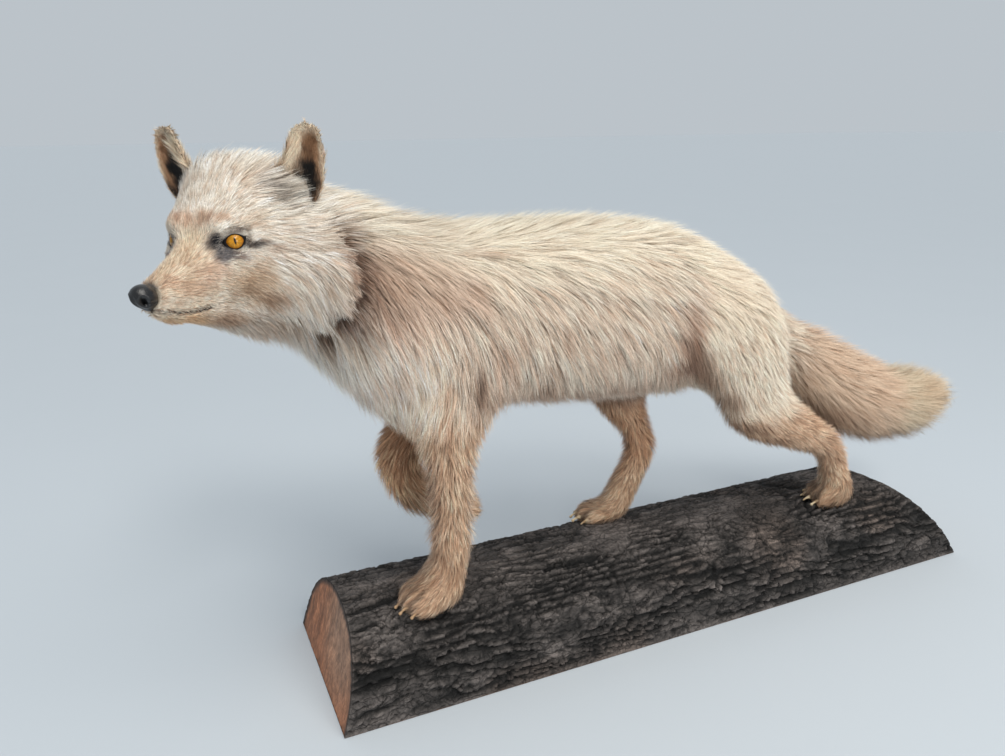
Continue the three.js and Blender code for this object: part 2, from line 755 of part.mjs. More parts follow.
const HINDLEGS = ["thigh_left", "thigh_right", "shank_left", "shank_right"];

// The lengths of the trunk, neck and tail: the room each is meshed in, the cuts at its two ends,
// the legs that are cut out of it and, unless it has them all, the limbs that blend into it.
const LENGTHS = {
  neck: {
    low: [-392, -105, 215],
    high: [-180, 95, 440],
    cell: CELL.neck,
    from: CUTS.head,
    to: CUTS.neck,
    legs: FORELEGS,
  },
  chest: {
    low: [-330, -105, 190],
    high: [-90, 105, 420],
    cell: CELL.trunk,
    from: CUTS.neck,
    to: CUTS.chest,
    legs: FORELEGS,
  },
  loin: {
    low: [-140, -105, 180],
    high: [30, 105, 410],
    cell: CELL.trunk,
    from: CUTS.chest,
    to: CUTS.loin,
    legs: HINDLEGS,
  },
  rump: {
    low: [-30, -105, 170],
    high: [200, 105, 400],
    cell: CELL.trunk,
    from: CUTS.loin,
    to: CUTS.root,
    legs: HINDLEGS,
  },
  tail_root: {
    low: [110, -70, 90],
    high: [300, 70, 300],
    cell: CELL.trunk,
    from: CUTS.root,
    to: CUTS.brush,
    legs: [],
    limbs: ["tail"],
  },
  tail_brush: {
    low: [240, -70, 80],
    high: [440, 70, 230],
    cell: CELL.trunk,
    from: CUTS.brush,
    to: null,
    legs: [],
    limbs: ["tail"],
  },
  head: {
    low: [-450, -135, 285],
    high: [-240, 60, 445],
    cell: CELL.head,
    from: null,
    to: CUTS.head,
    legs: [],
  },
};

// A length of the body between two planes, clear of the legs.
function bodyLength({ low, high, cell, from, to, legs, limbs }) {
  let solid = solidOf(meshed(limbs ? withLimbs(limbs) : fox, low, high, cell));
  if (from) solid = solid.intersect(behind(from.at, from.normal.clone().negate(), GAP / 2));
  if (to) solid = solid.intersect(behind(to.at, to.normal, GAP / 2));
  for (const name of legs) solid = solid.subtract(prism(LEGS[name].outline, LEGS[name].side, GAP));
  return mainBody(solid);
}

function legLength({ limb, side, cell, outline }, log) {
  const xs = outline.map((p) => p[0]);
  const zs = outline.map((p) => p[1]);
  const room = 2 * cell;
  const low = [Math.min(...xs) - room, side[0] - room, Math.min(...zs) - room];
  const high = [Math.max(...xs) + room, side[1] + room, Math.max(...zs) + room];
  const body = solidOf(meshed(withLimbs([limb]), low, high, cell));
  return mainBody(body.intersect(prism(outline, side, -GAP / 2)).subtract(log));
}

// ---- materials -----------------------------------------------------------------------------------

const coat = (color) => new THREE.MeshStandardMaterial({ color, roughness: 0.9, metalness: 0 });
const MATERIALS = {
  coat: coat(0xd9cdb8),
  legs: coat(0xb39a7c),
  ear: coat(0x9c8468),
  leather: new THREE.MeshStandardMaterial({ color: 0x1c1b1c, roughness: 0.35, metalness: 0 }),
  glass: new THREE.MeshStandardMaterial({ color: 0xc27a12, roughness: 0.05, metalness: 0 }),
  horn: new THREE.MeshStandardMaterial({ color: 0xd8c7a4, roughness: 0.4, metalness: 0 }),
  bark: new THREE.MeshStandardMaterial({ color: 0x2b2926, roughness: 0.95, metalness: 0 }),
};

const model = new THREE.Group();

function place(name, solid, material) {
  const mesh = new THREE.Mesh(geometryOf(solid), MATERIALS[material]);
  mesh.name = name;
  model.add(mesh);
}

// ---- assembly --------------------------------------------------------------------------------------

function addTrunk() {
  for (const name of ["neck", "chest", "loin", "rump", "tail_root", "tail_brush"])
    place(name, bodyLength(LENGTHS[name]), "coat");
}

function addHead() {
  const { low, high, cell } = LENGTHS.head;
  const swollen = solidOf(meshed((x, y, z) => fox(x, y, z) - EAR.clearance, low, high, cell));
  let head = bodyLength(LENGTHS.head).subtract(ballInHead(NOSE.at, NOSE.size, GAP));
  for (const [name, side] of [["left", 1], ["right", -1]]) {
    const eye = [EYE.at[0], EYE.at[1] * side, EYE.at[2]];
    const size = [EYE.radius, EYE.radius, EYE.radius];
    const socket = [EYE.socket[0], EYE.socket[1] * side, EYE.socket[2]];
    head = head.subtract(ballInHead(eye, size, GAP)).subtract(ballInHead(socket, EYE.socketRadii, 0));
    place("eye_" + name, ballInHead(eye, size, 0), "glass");
    const ear = solidOf(earGeometry(side).applyMatrix4(headFrame));
    place("ear_" + name, mainBody(ear.subtract(swollen)), "ear");
  }
  place("nose", ballInHead(NOSE.at, NOSE.size, 0), "leather");
  place("head", mainBody(head), "coat");
}

function addLegs() {
  const log = logSolid(GAP);
  for (const [name, length] of Object.entries(LEGS)) {
    let solid = legLength(length, log);
    const paw = PAWS[name.replace("paw_", "")];
    if (paw)
      toeLines(paw).forEach((toe, i) => {
        solid = solid.subtract(clawSolid(toe, GAP));
        const claw = mainBody(clawSolid(toe, 0).subtract(log));
        place(name.replace("paw", "claw") + "_" + (i + 1), claw, "horn");
      });
    place(name, mainBody(solid), name.startsWith("thigh") ? "coat" : "legs");
  }
}

addTrunk();
addHead();
addLegs();
place("log_base", logSolid(0), "bark");

export default model;
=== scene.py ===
"""The looks of the taxidermy fox on its half log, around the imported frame."""

import math

import bmesh
import bpy
import numpy as np
from mathutils import Matrix, Vector
from mathutils.bvhtree import BVHTree
from mathutils.kdtree import KDTree


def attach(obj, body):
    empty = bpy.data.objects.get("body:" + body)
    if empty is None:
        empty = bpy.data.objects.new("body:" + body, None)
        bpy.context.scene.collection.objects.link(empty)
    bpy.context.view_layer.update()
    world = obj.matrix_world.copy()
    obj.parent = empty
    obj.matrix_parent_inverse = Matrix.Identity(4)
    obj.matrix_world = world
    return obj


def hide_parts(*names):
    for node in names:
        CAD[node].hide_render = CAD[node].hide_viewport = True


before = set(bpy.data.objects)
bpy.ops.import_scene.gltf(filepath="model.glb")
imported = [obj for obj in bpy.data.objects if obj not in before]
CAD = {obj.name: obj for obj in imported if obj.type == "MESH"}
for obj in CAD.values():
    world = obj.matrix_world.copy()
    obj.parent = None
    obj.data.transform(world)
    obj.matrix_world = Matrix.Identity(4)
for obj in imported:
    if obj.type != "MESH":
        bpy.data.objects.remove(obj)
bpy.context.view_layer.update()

# All work below is in millimetres, in the row frame; meshes are written in metres.
MM = 0.001
random = np.random.default_rng(20260711)

# ---- names of parts and colours ----------------------------------------------------------------

ENDS, SIDES, CLAW_NUMBERS = ("fore", "hind"), ("left", "right"), range(1, 5)
LIMBS = ["forearm", "paw_fore", "thigh", "shank", "paw_hind"]
FLESH = ["head", "neck", "chest", "loin", "rump", "tail_root", "tail_brush"]
FLESH += [f"{part}_{side}" for part in LIMBS for side in SIDES]
EARS = ["ear_left", "ear_right"]
LABELS = FLESH + EARS
LABEL = {name: i for i, name in enumerate(LABELS)}


def is_part(labels, *starts):
    """Where the labels are those of parts whose names start so."""
    return np.isin(labels, [LABEL[name] for name in LABELS if name.startswith(starts)])


def by_part(table, default=0.0):
    """The table's value for each label, under its own name or the name both sides share."""
    values = []
    for name in LABELS:
        shared = name.replace("_left", "").replace("_right", "")
        values.append(table.get(name, table.get(shared, default)))
    return np.array(values, float)


# Colours as sRGB.
CREAM = (0.94, 0.89, 0.815)
PALE = (0.96, 0.93, 0.86)
BEIGE = (0.87, 0.78, 0.68)
TAN = (0.86, 0.75, 0.63)
WHITE = np.ones(3)


def linear(colour):
    c = np.asarray(colour, float)
    return np.where(c <= 0.04045, c / 12.92, ((c + 0.055) / 1.055) ** 2.4)


# ---- small maths --------------------------------------------------------------------------------


def unit(v):
    return v / np.maximum(np.linalg.norm(v, axis=-1, keepdims=True), 1e-9)


def smooth(x, low=0.0, high=1.0):
    t = np.clip((np.asarray(x, float) - low) / (high - low), 0, 1)
    return t * t * (3 - 2 * t)


def mix(a, b, t):
    return a + (b - a) * t


def shaded(low, high, share):
    """From one colour to another, by a share at each place."""
    return mix(np.array(low), np.array(high), share[:, None])


def flat_to(ways, normals):
    """The directions laid flat on the surface that has these normals."""
    return unit(ways - normals * (ways * normals).sum(-1, keepdims=True))


def folded_to(points, side=1.0):
    """The points with all their y on one side."""
    return points * [1, 0, 1] + side * np.abs(points) * [0, 1, 0]


def within(points, middle, radii, low, high):
    """1 around the middle of an ellipsoid, easing to 0 between two shares of its radii."""
    return 1 - smooth(np.linalg.norm((points - np.array(middle)) / radii, axis=1), low, high)


TURNED = [0, 3, 2, 1]  # what makes a quad face the other way, from the same corner


def grid_quads(rows, columns, closed=False, start=0):
    """The quads of a grid of vertices numbered row by row, whose rows may close on themselves."""
    row, column = np.meshgrid(np.arange(rows - 1), np.arange(columns - (not closed)), indexing="ij")
    a = start + row * columns + column
    b = start + row * columns + (column + 1) % columns
    return np.stack([a, a + columns, b + columns, b], -1).reshape(-1, 4)


def lattice(cell, seed):
    """A fixed random number from 0 to 1 for each whole-numbered cell."""
    c = cell.astype(np.int64).astype(np.uint64)
    h = c[..., 0] * np.uint64(374761393) + c[..., 1] * np.uint64(668265263)
    h = h + c[..., 2] * np.uint64(2147483647) + np.uint64(seed * 1274126177 + 97)
    h = (h ^ (h >> np.uint64(13))) * np.uint64(1274126177)
    h = (h ^ (h >> np.uint64(17))) * np.uint64(2246822519)
    h = h ^ (h >> np.uint64(29))
    return (h & np.uint64(0xFFFFFF)).astype(float) / 0xFFFFFF


def lumps(points, size, seed=0):
    """Smooth noise from -1 to 1, with lumps about as wide as size."""
    q = np.asarray(points, float) / size
    cell = np.floor(q)
    f = q - cell
    f = f * f * (3 - 2 * f)
    total = 0
    for dx in (0, 1):
        for dy in (0, 1):
            for dz in (0, 1):
                weight = (f[..., 0] if dx else 1 - f[..., 0]) * (f[..., 1] if dy else 1 - f[..., 1])
                weight = weight * (f[..., 2] if dz else 1 - f[..., 2])
                total = total + weight * lattice(cell + np.array([dx, dy, dz]), seed)
    return total * 2 - 1


def lumps3(points, size, seed):
    """Three such noises, for a push in three directions."""
    return np.stack([lumps(points, size, seed + k) for k in range(3)], 1)


def crackle(points, size, seed=0):
    """Distance to the border between the nearest two random cell centres, and the cell's random number."""
    q = np.asarray(points, float) / size
    cell = np.floor(q)
    near = np.full(len(q), 9.0)
    second = np.full(len(q), 9.0)
    owner = np.zeros(len(q))
    for dx in (-1, 0, 1):
        for dy in (-1, 0, 1):
            for dz in (-1, 0, 1):
                c = cell + np.array([dx, dy, dz])
                centre = c + np.stack([lattice(c, seed + k) for k in (1, 2, 3)], -1)
                d = np.linalg.norm(q - centre, axis=-1)
                closer = d < near
                second = np.where(closer, near, np.minimum(second, d))
                owner = np.where(closer, lattice(c, seed + 4), owner)
                near = np.where(closer, d, near)
    return second - near, owner


# ---- the head's own frame -----------------------------------------------------------------------

HEAD_AT = np.array([-369.0, -36.0, 374.0])
HEAD_TURN = Matrix.Rotation(math.radians(232), 3, "Z") @ Matrix.Rotation(math.radians(-3), 3, "Y")
HEAD_TURN = np.array(HEAD_TURN @ Matrix.Rotation(math.radians(0.3), 3, "X"))


def from_head(points):
    return np.asarray(points, float) @ HEAD_TURN.T + HEAD_AT


def to_head(points):
    return (np.asarray(points, float) - HEAD_AT) @ HEAD_TURN


EYE_AT = np.array([-7.0, 19.0, -1.0])
EYE_RADIUS = 8.2
EYE_AXIS = unit(np.array([0.80, 0.59, 0.10]))
NOSE_AT = np.array([57.0, 0.0, -28.0])
EAR_BASE = np.array([-46.0, 45.0, 26.0])
EAR_TIP = np.array([-42.0, 56.0, 69.0])
BOTH = (np.array([1.0, 1.0, 1.0]), np.array([1.0, -1.0, 1.0]))


def side_of(points):
    """What turns a left-hand direction to the side of the head where each place lies."""
    return np.where(points[:, 1:2] > 0, BOTH[0], BOTH[1])


def eye_frame(flip):
    """Centre of an eye in the row frame, the way it looks, up and across."""
    axis = unit(EYE_AXIS * flip) @ HEAD_TURN.T
    up = unit(np.array([0, 0, 1.0]) - axis * axis[2])
    return from_head(EYE_AT * flip), axis, up, np.cross(up, axis)


# ---- building pieces ----------------------------------------------------------------------------


def add_piece(name, points, faces, tint, material, replaced=(), uv=None, normals=None):
    """A mesh piece of triangles or quads from arrays, in millimetres, with a colour at each vertex."""
    mesh = bpy.data.meshes.new(name)
    corners = faces.shape[1]
    mesh.vertices.add(len(points))
    mesh.vertices.foreach_set("co", (np.asarray(points) * MM).astype(np.float32).ravel())
    mesh.loops.add(faces.size)
    mesh.loops.foreach_set("vertex_index", faces.astype(np.int32).ravel())
    mesh.polygons.add(len(faces))
    mesh.polygons.foreach_set("loop_start", np.arange(0, faces.size, corners, dtype=np.int32))
    mesh.polygons.foreach_set("use_smooth", np.full(len(faces), True))
    layer = mesh.color_attributes.new("tint", "FLOAT_COLOR", "POINT")
    colours = np.ones((len(points), 4), np.float32)
    colours[:, :3] = tint
    layer.data.foreach_set("color", colours.ravel())
    if uv is not None:
        uv_layer = mesh.uv_layers.new(name="OFBake")
        uv_layer.data.foreach_set("uv", uv[faces.ravel()].astype(np.float32).ravel())
    mesh.update(calc_edges=True)
    mesh.validate()
    if normals is not None:
        mesh.normals_split_custom_set_from_vertices(normals.tolist())
    piece = bpy.data.objects.new(name, mesh)
    bpy.context.scene.collection.objects.link(piece)
    mesh.materials.append(material)
    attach(piece, "root")
    if replaced:
        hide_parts(*replaced)
    return piece


class Shader:
    """A short way to write a node material around one Principled shader."""

    def __init__(self, name, **values):
        self.material = bpy.data.materials.new(name)
        self.material.use_nodes = True
        self.tree = self.material.node_tree
        self.main = self.tree.nodes["Principled BSDF"]
        for key, value in values.items():
            self.main.inputs[key.replace("_", " ")].default_value = value

    def node(self, kind, inputs=None, **settings):
        made = self.tree.nodes.new(kind)
        for key, value in settings.items():
            setattr(made, key, value)
        for key, value in (inputs or {}).items():
            if isinstance(value, bpy.types.NodeSocket):
                self.tree.links.new(value, made.inputs[key])
            else:
                made.inputs[key].default_value = value
        return made

    def link(self, output, key):
        self.tree.links.new(output, self.main.inputs[key])

    def tint(self):
        return self.node("ShaderNodeAttribute", attribute_name="tint").outputs["Color"]

    def noise(self, scale, detail=3.0, vector=None, rough=0.5):
        inputs = {"Scale": scale, "Detail": detail, "Roughness": rough}
        inputs["Vector"] = vector if vector else self.node("ShaderNodeTexCoord").outputs["Object"]
        return self.node("ShaderNodeTexNoise", inputs).outputs["Fac"]

    def ramp(self, factor, low, high, new_low, new_high):
        inputs = {"Value": factor, "From Min": low, "From Max": high, "To Min": new_low, "To Max": new_high}
        return self.node("ShaderNodeMapRange", inputs).outputs["Result"]

    def scaled(self, colour, amount):
        inputs = {0: 1.0, 6: colour, 7: amount}
        return self.node("ShaderNodeMix", inputs, data_type="RGBA", blend_type="MULTIPLY").outputs[2]

    def grained(self, noise, dark, bright):
        """The tint at each vertex, made darker and brighter by a noise."""
        self.link(self.scaled(self.tint(), self.ramp(noise, 0.3, 0.7, dark, bright)), "Base Color")

    def bump(self, height, distance, strength=1.0):
        made = self.node("ShaderNodeBump", {"Height": height, "Distance": distance, "Strength": strength})
        self.link(made.outputs["Normal"], "Normal")


# ---- the skin -----------------------------------------------------------------------------------


def points_of(mesh):
    co = np.empty(len(mesh.vertices) * 3, np.float32)
    mesh.vertices.foreach_get("co", co)
    return co.reshape(-1, 3).astype(float) / MM


def cad_copy(names, swell=0.0):
    """The named CAD nodes welded into one bmesh, in millimetres, each face with its node's label."""
    joined = bmesh.new()
    label = joined.faces.layers.int.new("label")
    for name in names:
        one = bmesh.new()
        one.from_mesh(CAD[name].data)
        bmesh.ops.scale(one, vec=(1 / MM,) * 3, verts=one.verts)
        bmesh.ops.remove_doubles(one, verts=one.verts, dist=0.02)
        one.normal_update()
        if swell:
            for v in one.verts:
                v.co += v.normal * swell
        new = [joined.verts.new(v.co) for v in one.verts]
        for f in one.faces:
            made = joined.faces.new([new[v.index] for v in f.verts])
            made[label] = LABEL[name]
        one.free()
    joined.verts.index_update()
    joined.normal_update()
    return joined


def remeshed(names, voxel, swell):
    """One closed surface around the named nodes."""
    source = cad_copy(names, swell)
    mesh = bpy.data.meshes.new("work")
    source.to_mesh(mesh)
    source.free()
    work = bpy.data.objects.new("work", mesh)
    bpy.context.scene.collection.objects.link(work)
    modifier = work.modifiers.new("voxels", "REMESH")
    modifier.mode = "VOXEL"
    modifier.voxel_size = voxel
    modifier.adaptivity = 0
    graph = bpy.context.evaluated_depsgraph_get()
    made = bmesh.new()
    made.from_object(work, graph)
    bpy.data.objects.remove(work)
    bpy.data.meshes.remove(mesh)
    return made


class Surface:
    """A triangle mesh as arrays, with what is needed to smooth it and to search it."""

    def __init__(self, points, faces):
        self.points = np.asarray(points, float)
        self.faces = np.asarray(faces, np.int64)
        self.refresh()
        edges = np.concatenate([self.faces[:, [0, 1]], self.faces[:, [1, 2]], self.faces[:, [2, 0]]])
        edges = np.unique(np.sort(edges, axis=1), axis=0)
        self.a = np.concatenate([edges[:, 0], edges[:, 1]])
        self.b = np.concatenate([edges[:, 1], edges[:, 0]])
        self.valence = np.maximum(np.bincount(self.a, minlength=len(self.points)), 1)

    def refresh(self):
        p = self.points[self.faces]
        cross = np.cross(p[:, 1] - p[:, 0], p[:, 2] - p[:, 0])
        self.area = np.linalg.norm(cross, axis=1) / 2
        self.face_normal = unit(cross)
        normal = np.zeros_like(self.points)
        for corner in range(3):
            for axis in range(3):
                weights = cross[:, axis]
                normal[:, axis] += np.bincount(self.faces[:, corner], weights, minlength=len(normal))
        self.normal = unit(normal)

    def mean(self, values):
        """At each vertex, the mean over its neighbours."""
        values = np.asarray(values, float)
        flat = values.reshape(len(values), -1)
        sums = [np.bincount(self.a, column[self.b], minlength=len(flat)) for column in flat.T]
        return (np.stack(sums, 1) / self.valence[:, None]).reshape(values.shape)

    def smoothed(self, values, steps, weight=0.6):
        weight = np.broadcast_to(np.asarray(weight, float), (len(values),))
        weight = weight.reshape((-1,) + (1,) * (np.ndim(values) - 1))
        for _ in range(steps):
            values = values + (self.mean(values) - values) * weight
        return values

    def search(self):
        return BVHTree.FromPolygons(self.points.tolist(), self.faces.tolist())


def surface_of(made):
    bmesh.ops.triangulate(made, faces=made.faces)
    made.verts.index_update()
    points = np.array([v.co[:] for v in made.verts])
    faces = np.array([[v.index for v in f.verts] for f in made.faces])
    return Surface(points, faces)


# Toes: each runs back from its claw, with a gap between neighbours.
TOE_BACK, GAP_BACK = 8, 7
TOE_LOWERED = np.array([1, 1, 0.35])  # the claws lie lower than the tops of the toes
toe_places, toe_gaps = [], []
for end in ENDS:
    for side in SIDES:
        tips = [points_of(CAD[f"claw_{end}_{side}_{n}"].data).mean(0) for n in CLAW_NUMBERS]
        ahead = unit(np.mean(tips, axis=0) - points_of(CAD[f"paw_{end}_{side}"].data).mean(0))
        toe_places += [(tip - TOE_BACK * ahead, ahead) for tip in tips]
        toe_gaps += [((a + b) / 2 - GAP_BACK * ahead, ahead) for a, b in zip(tips, tips[1:])]


def near_toes(points, places, wide, long):
    """1 on the lines of the given places, fading out over wide and long."""
    total = np.zeros(len(points))
    for place, ahead in places:
        off = (points - place) * TOE_LOWERED
        forward = off @ unit(ahead * TOE_LOWERED)
        total += np.exp(-((off**2).sum(1) - forward**2) / wide**2 - (forward / long) ** 2)
    return np.minimum(total, 1.0)


BODY_VOXEL, BODY_SWELL = 3.0, 0.45
EAR_VOXEL = 1.0
PAWS_TOP, TOE_REACH = 135, 13
FACE_REAR, FACE_SIDE, FACE_LOW, FACE_TOP = -18, 42, -75, 40


def is_fine(edge):
    """Whether an edge lies on the face or at a toe, where the skin needs more detail."""
    at = np.array(((edge.verts[0].co + edge.verts[1].co) / 2)[:])
    middle = to_head(at)
    at_toe = at[2] < PAWS_TOP and min(((at - place) ** 2).sum() for place, _ in toe_places) < TOE_REACH**2
    on_face = middle[0] > FACE_REAR and abs(middle[1]) < FACE_SIDE
    return at_toe or (on_face and FACE_LOW < middle[2] < FACE_TOP)


body = remeshed(FLESH, BODY_VOXEL, BODY_SWELL)
fine_edges = [edge for edge in body.edges if is_fine(edge)]
bmesh.ops.subdivide_edges(body, edges=fine_edges, cuts=1, use_grid_fill=True)
skin = surface_of(body)
body.free()

cad_flesh = cad_copy(FLESH)
cad_faces_label = np.array([f[cad_flesh.faces.layers.int["label"]] for f in cad_flesh.faces])
cad_tree = BVHTree.FromBMesh(cad_flesh)
label = np.array([cad_faces_label[cad_tree.find_nearest(Vector(p))[2]] for p in skin.points])
cad_flesh.free()  # its search tree has its own copy

# How strongly each part is smoothed, and how deep the coat lies over the skin.
SMOOTHING = {"head": 0.16, "neck": 0.6, "chest": 0.6, "loin": 0.6, "rump": 0.6}
SMOOTHING.update(tail_root=0.6, tail_brush=0.5, thigh=0.6)
SMOOTHING.update(forearm=0.4, shank=0.45, paw_fore=0.12, paw_hind=0.12)
COAT_DEPTH = {"neck": 15, "chest": 14, "loin": 13, "rump": 11, "tail_root": 15, "tail_brush": 20}
COAT_DEPTH.update(forearm=4.5, thigh=8.5, shank=3.8, paw_fore=2.6, paw_hind=2.6)
# On the head: the face's, and what the others add to it.
FACE_DEPTH, NAPE_DEPTH, CHEEK_DEPTH, CHIN_DEPTH = 2.1, 9.5, 5, 2.5
BY_EAR_DEPTH, EAR_SLOPE = 8, 0.3
BODY_STEPS, LAST_STEPS = 45, 4

weight = skin.smoothed(by_part(SMOOTHING)[label], 6)
skin.points = skin.smoothed(skin.points, BODY_STEPS, weight)
skin.refresh()

h = to_head(skin.points)
folded = folded_to(h)
on_head = is_part(label, "head")
ear_distance = np.linalg.norm(folded - EAR_BASE, axis=1)
head_depth = FACE_DEPTH + NAPE_DEPTH * smooth(-h[:, 0], 6, 60)
head_depth += CHEEK_DEPTH * smooth(folded[:, 1], 34, 62) * smooth(-h[:, 0], -6, 25)
head_depth += CHIN_DEPTH * smooth(-h[:, 2], 46, 70) * smooth(-h[:, 0], -30, 10)
head_depth = np.minimum(head_depth, BY_EAR_DEPTH + EAR_SLOPE * ear_distance)
depth = np.where(on_head, head_depth, by_part(COAT_DEPTH)[label])
depth = np.where(h[:, 0] > -20, skin.smoothed(depth, 6), skin.smoothed(depth, 60))

# Bumps that model the face on the skin: place in the head frame, radius, height; both sides alike.
FACE_FORM = [
    ((6, 16, 9), 8, 2.2),  # brow in front of the eye
    ((-8, 25, 10), 8, 2.2),  # brow over the eye
    ((-2, 30, -12), 8, 1.2),  # cheek bone under the eye
    ((12, 16, -6), 7, -1.6),  # hollow in front of the eye
    ((10, 16, 2), 6.5, -2.4),  # inner corner of the eye
    ((47, 7, -22), 9, 0.8),  # whisker pad
    ((38, 9, -33), 7, 0.9),  # upper lip
    ((-14, 33, 2), 6, -0.8),  # behind the eye
    ((8, 0, 14), 7, -1.2),  # stop between the brows
    ((28, 12, -20), 9, -0.7),  # side of the muzzle
]
MOUTH_LINE = [(57, 0, -38.5), (54, 3.5, -38.5), (47, 8, -39), (33, 9.5, -41), (22, 12, -41.5)]
MOUTH_LINE = np.array([*MOUTH_LINE, (16, 14, -40.5)], float)
MOUTH_DEPTH, MOUTH_WIDTH = 2.6, 1.6
LIP_HEIGHT, LIP_OUT = 0.8, 3.6  # of the lips' crests, and how far they lie from the mouth's line
TOE_HEIGHT, TOE_GAP_DEPTH = 2.0, 1.8


def along(line, count=12):
    """Close points on a line through stations."""
    t = np.linspace(0, len(line) - 1, (len(line) - 1) * count + 1)
    k = np.minimum(t.astype(int), len(line) - 2)
    return line[k] + (line[k + 1] - line[k]) * (t - k)[:, None]


def distance_to(points, line):
    dense = along(line)
    best = np.full(len(points), 1e9)
    for p in dense:
        best = np.minimum(best, ((points - p) ** 2).sum(1))
    return np.sqrt(best)


mouth_distance = np.where(on_head, distance_to(folded, MOUTH_LINE), 99)
rise = np.zeros(len(h))
for place, radius, height in FACE_FORM:
    rise += height * np.exp(-((folded - place) ** 2).sum(1) / radius**2)
rise -= MOUTH_DEPTH * np.exp(-((mouth_distance / MOUTH_WIDTH) ** 2))
rise += LIP_HEIGHT * np.exp(-(((mouth_distance - LIP_OUT) / MOUTH_WIDTH) ** 2))
rise = np.where(on_head, rise, 0)
toe = near_toes(skin.points, toe_places, 3.6, 8)
toe_gap = near_toes(skin.points, toe_gaps, 2.0, 11)
rise += TOE_HEIGHT * toe - TOE_GAP_DEPTH * toe_gap
skin.points = skin.points - skin.normal * (depth - rise)[:, None]
on_paws = ~on_head & (weight <= 0.3)
evening = np.where(h[:, 0] > FACE_REAR, 0.05, 0.5) * np.where(on_paws, 0.5, 1)
skin.points = skin.smoothed(skin.points, LAST_STEPS, evening)
skin.refresh()

# The coat reaches the CAD outline: how far each place of the skin is from it.
found = [cad_tree.ray_cast(Vector(p), Vector(n), 60) for p, n in zip(skin.points, skin.normal)]
reach = np.array([f[3] if f[0] is not None else np.nan for f in found])
reach = np.where(np.isnan(reach), depth, reach)
coat_height = skin.smoothed(np.clip(reach, depth * 0.6, depth * 1.7 + 4), 5)

# Lids: around each eye the skin goes behind the ball, and a ring of lid closes the gap.
OPEN_WIDTH, OPEN_HEIGHT = 5.5, 4.6
LID_SLANT = math.radians(7)
UPPER_LID, LOWER_LID = 0.86, 1.04  # how far each opens, as a share
BEHIND_BALL = 7.0
LID_TURNS = np.linspace(0, 2 * np.pi, 96, endpoint=False)
# Steps outwards from the opening's edge: six rings on the crest, three down the slope, one on the skin.
LID_STEPS = np.array([0.9, 1.0, 1.03, 1.1, 1.2, 1.32, 1.45, 1.6, 1.85, 2.1])
CREST_RADII = np.array([8.0, 8.35, 8.75, 9.15, 9.3, 9.25])
LID_SLOPE = ((0.25, 0.7), (0.5, 0.5), (0.8, 0.15))  # share of the way from crest to skin, height over it
before_lids = skin.search()


def sink_behind(centre, axis, u_dir, v_dir):
    """Draw the skin in front of an eye back into its ball."""
    local = skin.points - centre
    u, v, w = local @ u_dir, local @ v_dir, local @ axis
    grow = np.hypot(u / OPEN_WIDTH, v / OPEN_HEIGHT)
    hidden = np.sqrt(np.maximum(BEHIND_BALL**2 - u * u - v * v, 0))
    sink = np.where((w > 0) & (grow < 1.9), 1 - smooth(grow, 1.25, 1.9), 0)
    skin.points = skin.points + axis * (mix(w, np.minimum(w, hidden), sink) - w)[:, None]


def lid_ring(step, radius, centre, axis, u_dir, v_dir):
    """One ring of lid, on a ball of the radius or, without one, on the skin."""
    cosine, sine = np.cos(LID_TURNS), np.sin(LID_TURNS)
    uu = cosine * (OPEN_WIDTH * (step + (step - 1) * 0.5 * np.abs(cosine) ** 6))
    vv = sine * np.abs(sine) ** 0.3 * OPEN_HEIGHT * step * np.where(sine > 0, UPPER_LID, LOWER_LID)
    base = centre + uu[:, None] * u_dir + vv[:, None] * v_dir
    hits = [before_lids.ray_cast(Vector(p + axis * 30), Vector(-axis))[0] for p in base]
    ground = np.array([(np.array(hit) - centre) @ axis if hit is not None else 0.0 for hit in hits]) - 0.35
    ball = np.sqrt(np.maximum(radius**2 - uu**2 - vv**2, 0.5))
    height = mix(ball, ground, smooth(step, 1.3, 1.85)) if radius else ground
    return base + height[:, None] * axis


lids = []
for flip in BOTH:
    centre, axis, up, across = eye_frame(flip)
    slant = LID_SLANT * flip[1]
    u_dir = across * math.cos(slant) + up * math.sin(slant)
    eye = (centre, axis, u_dir, np.cross(axis, u_dir))
    sink_behind(*eye)
    crest = [lid_ring(step, radius, *eye) for step, radius in zip(LID_STEPS, CREST_RADII)]
    foot = lid_ring(LID_STEPS[-1], 0, *eye)
    slope = [mix(crest[-1], foot, share) + axis * over for share, over in LID_SLOPE]
    lids.append(np.array([*crest, *slope, foot]))
skin.refresh()

# Ears, in the head's frame: a little wider and higher than the frame's, their lower ends in the coat.
EAR_OUT = np.array([-0.26, 0.97, 0.0])
EAR_UP = np.array([0.0, 0.1, 1.0])
EAR_DOWN = np.array([-0.05, -0.9, -0.85])
EAR_DEPTH, EAR_RAISE, EAR_FLARE, EAR_LOWER = 1.1, 4.5, -7.0, 13
ears = surface_of(remeshed(EARS, EAR_VOXEL, 0.0))
ear_h = to_head(ears.points)
ears.points = ears.smoothed(ears.points, 12, 0.5)
ears.points = ears.smoothed(ears.points, 25, 0.6 * smooth(ear_h[:, 2], 54, 66))
ears.refresh()
ears.points = ears.points - ears.normal * EAR_DEPTH


def move_ears(*moves):
    """Move each place of the ears along directions given for the left ear, by an amount for each."""
    shift = sum(direction * amount[:, None] for direction, amount in moves)
    ears.points = ears.points + (side_of(ear_h) * shift) @ HEAD_TURN.T


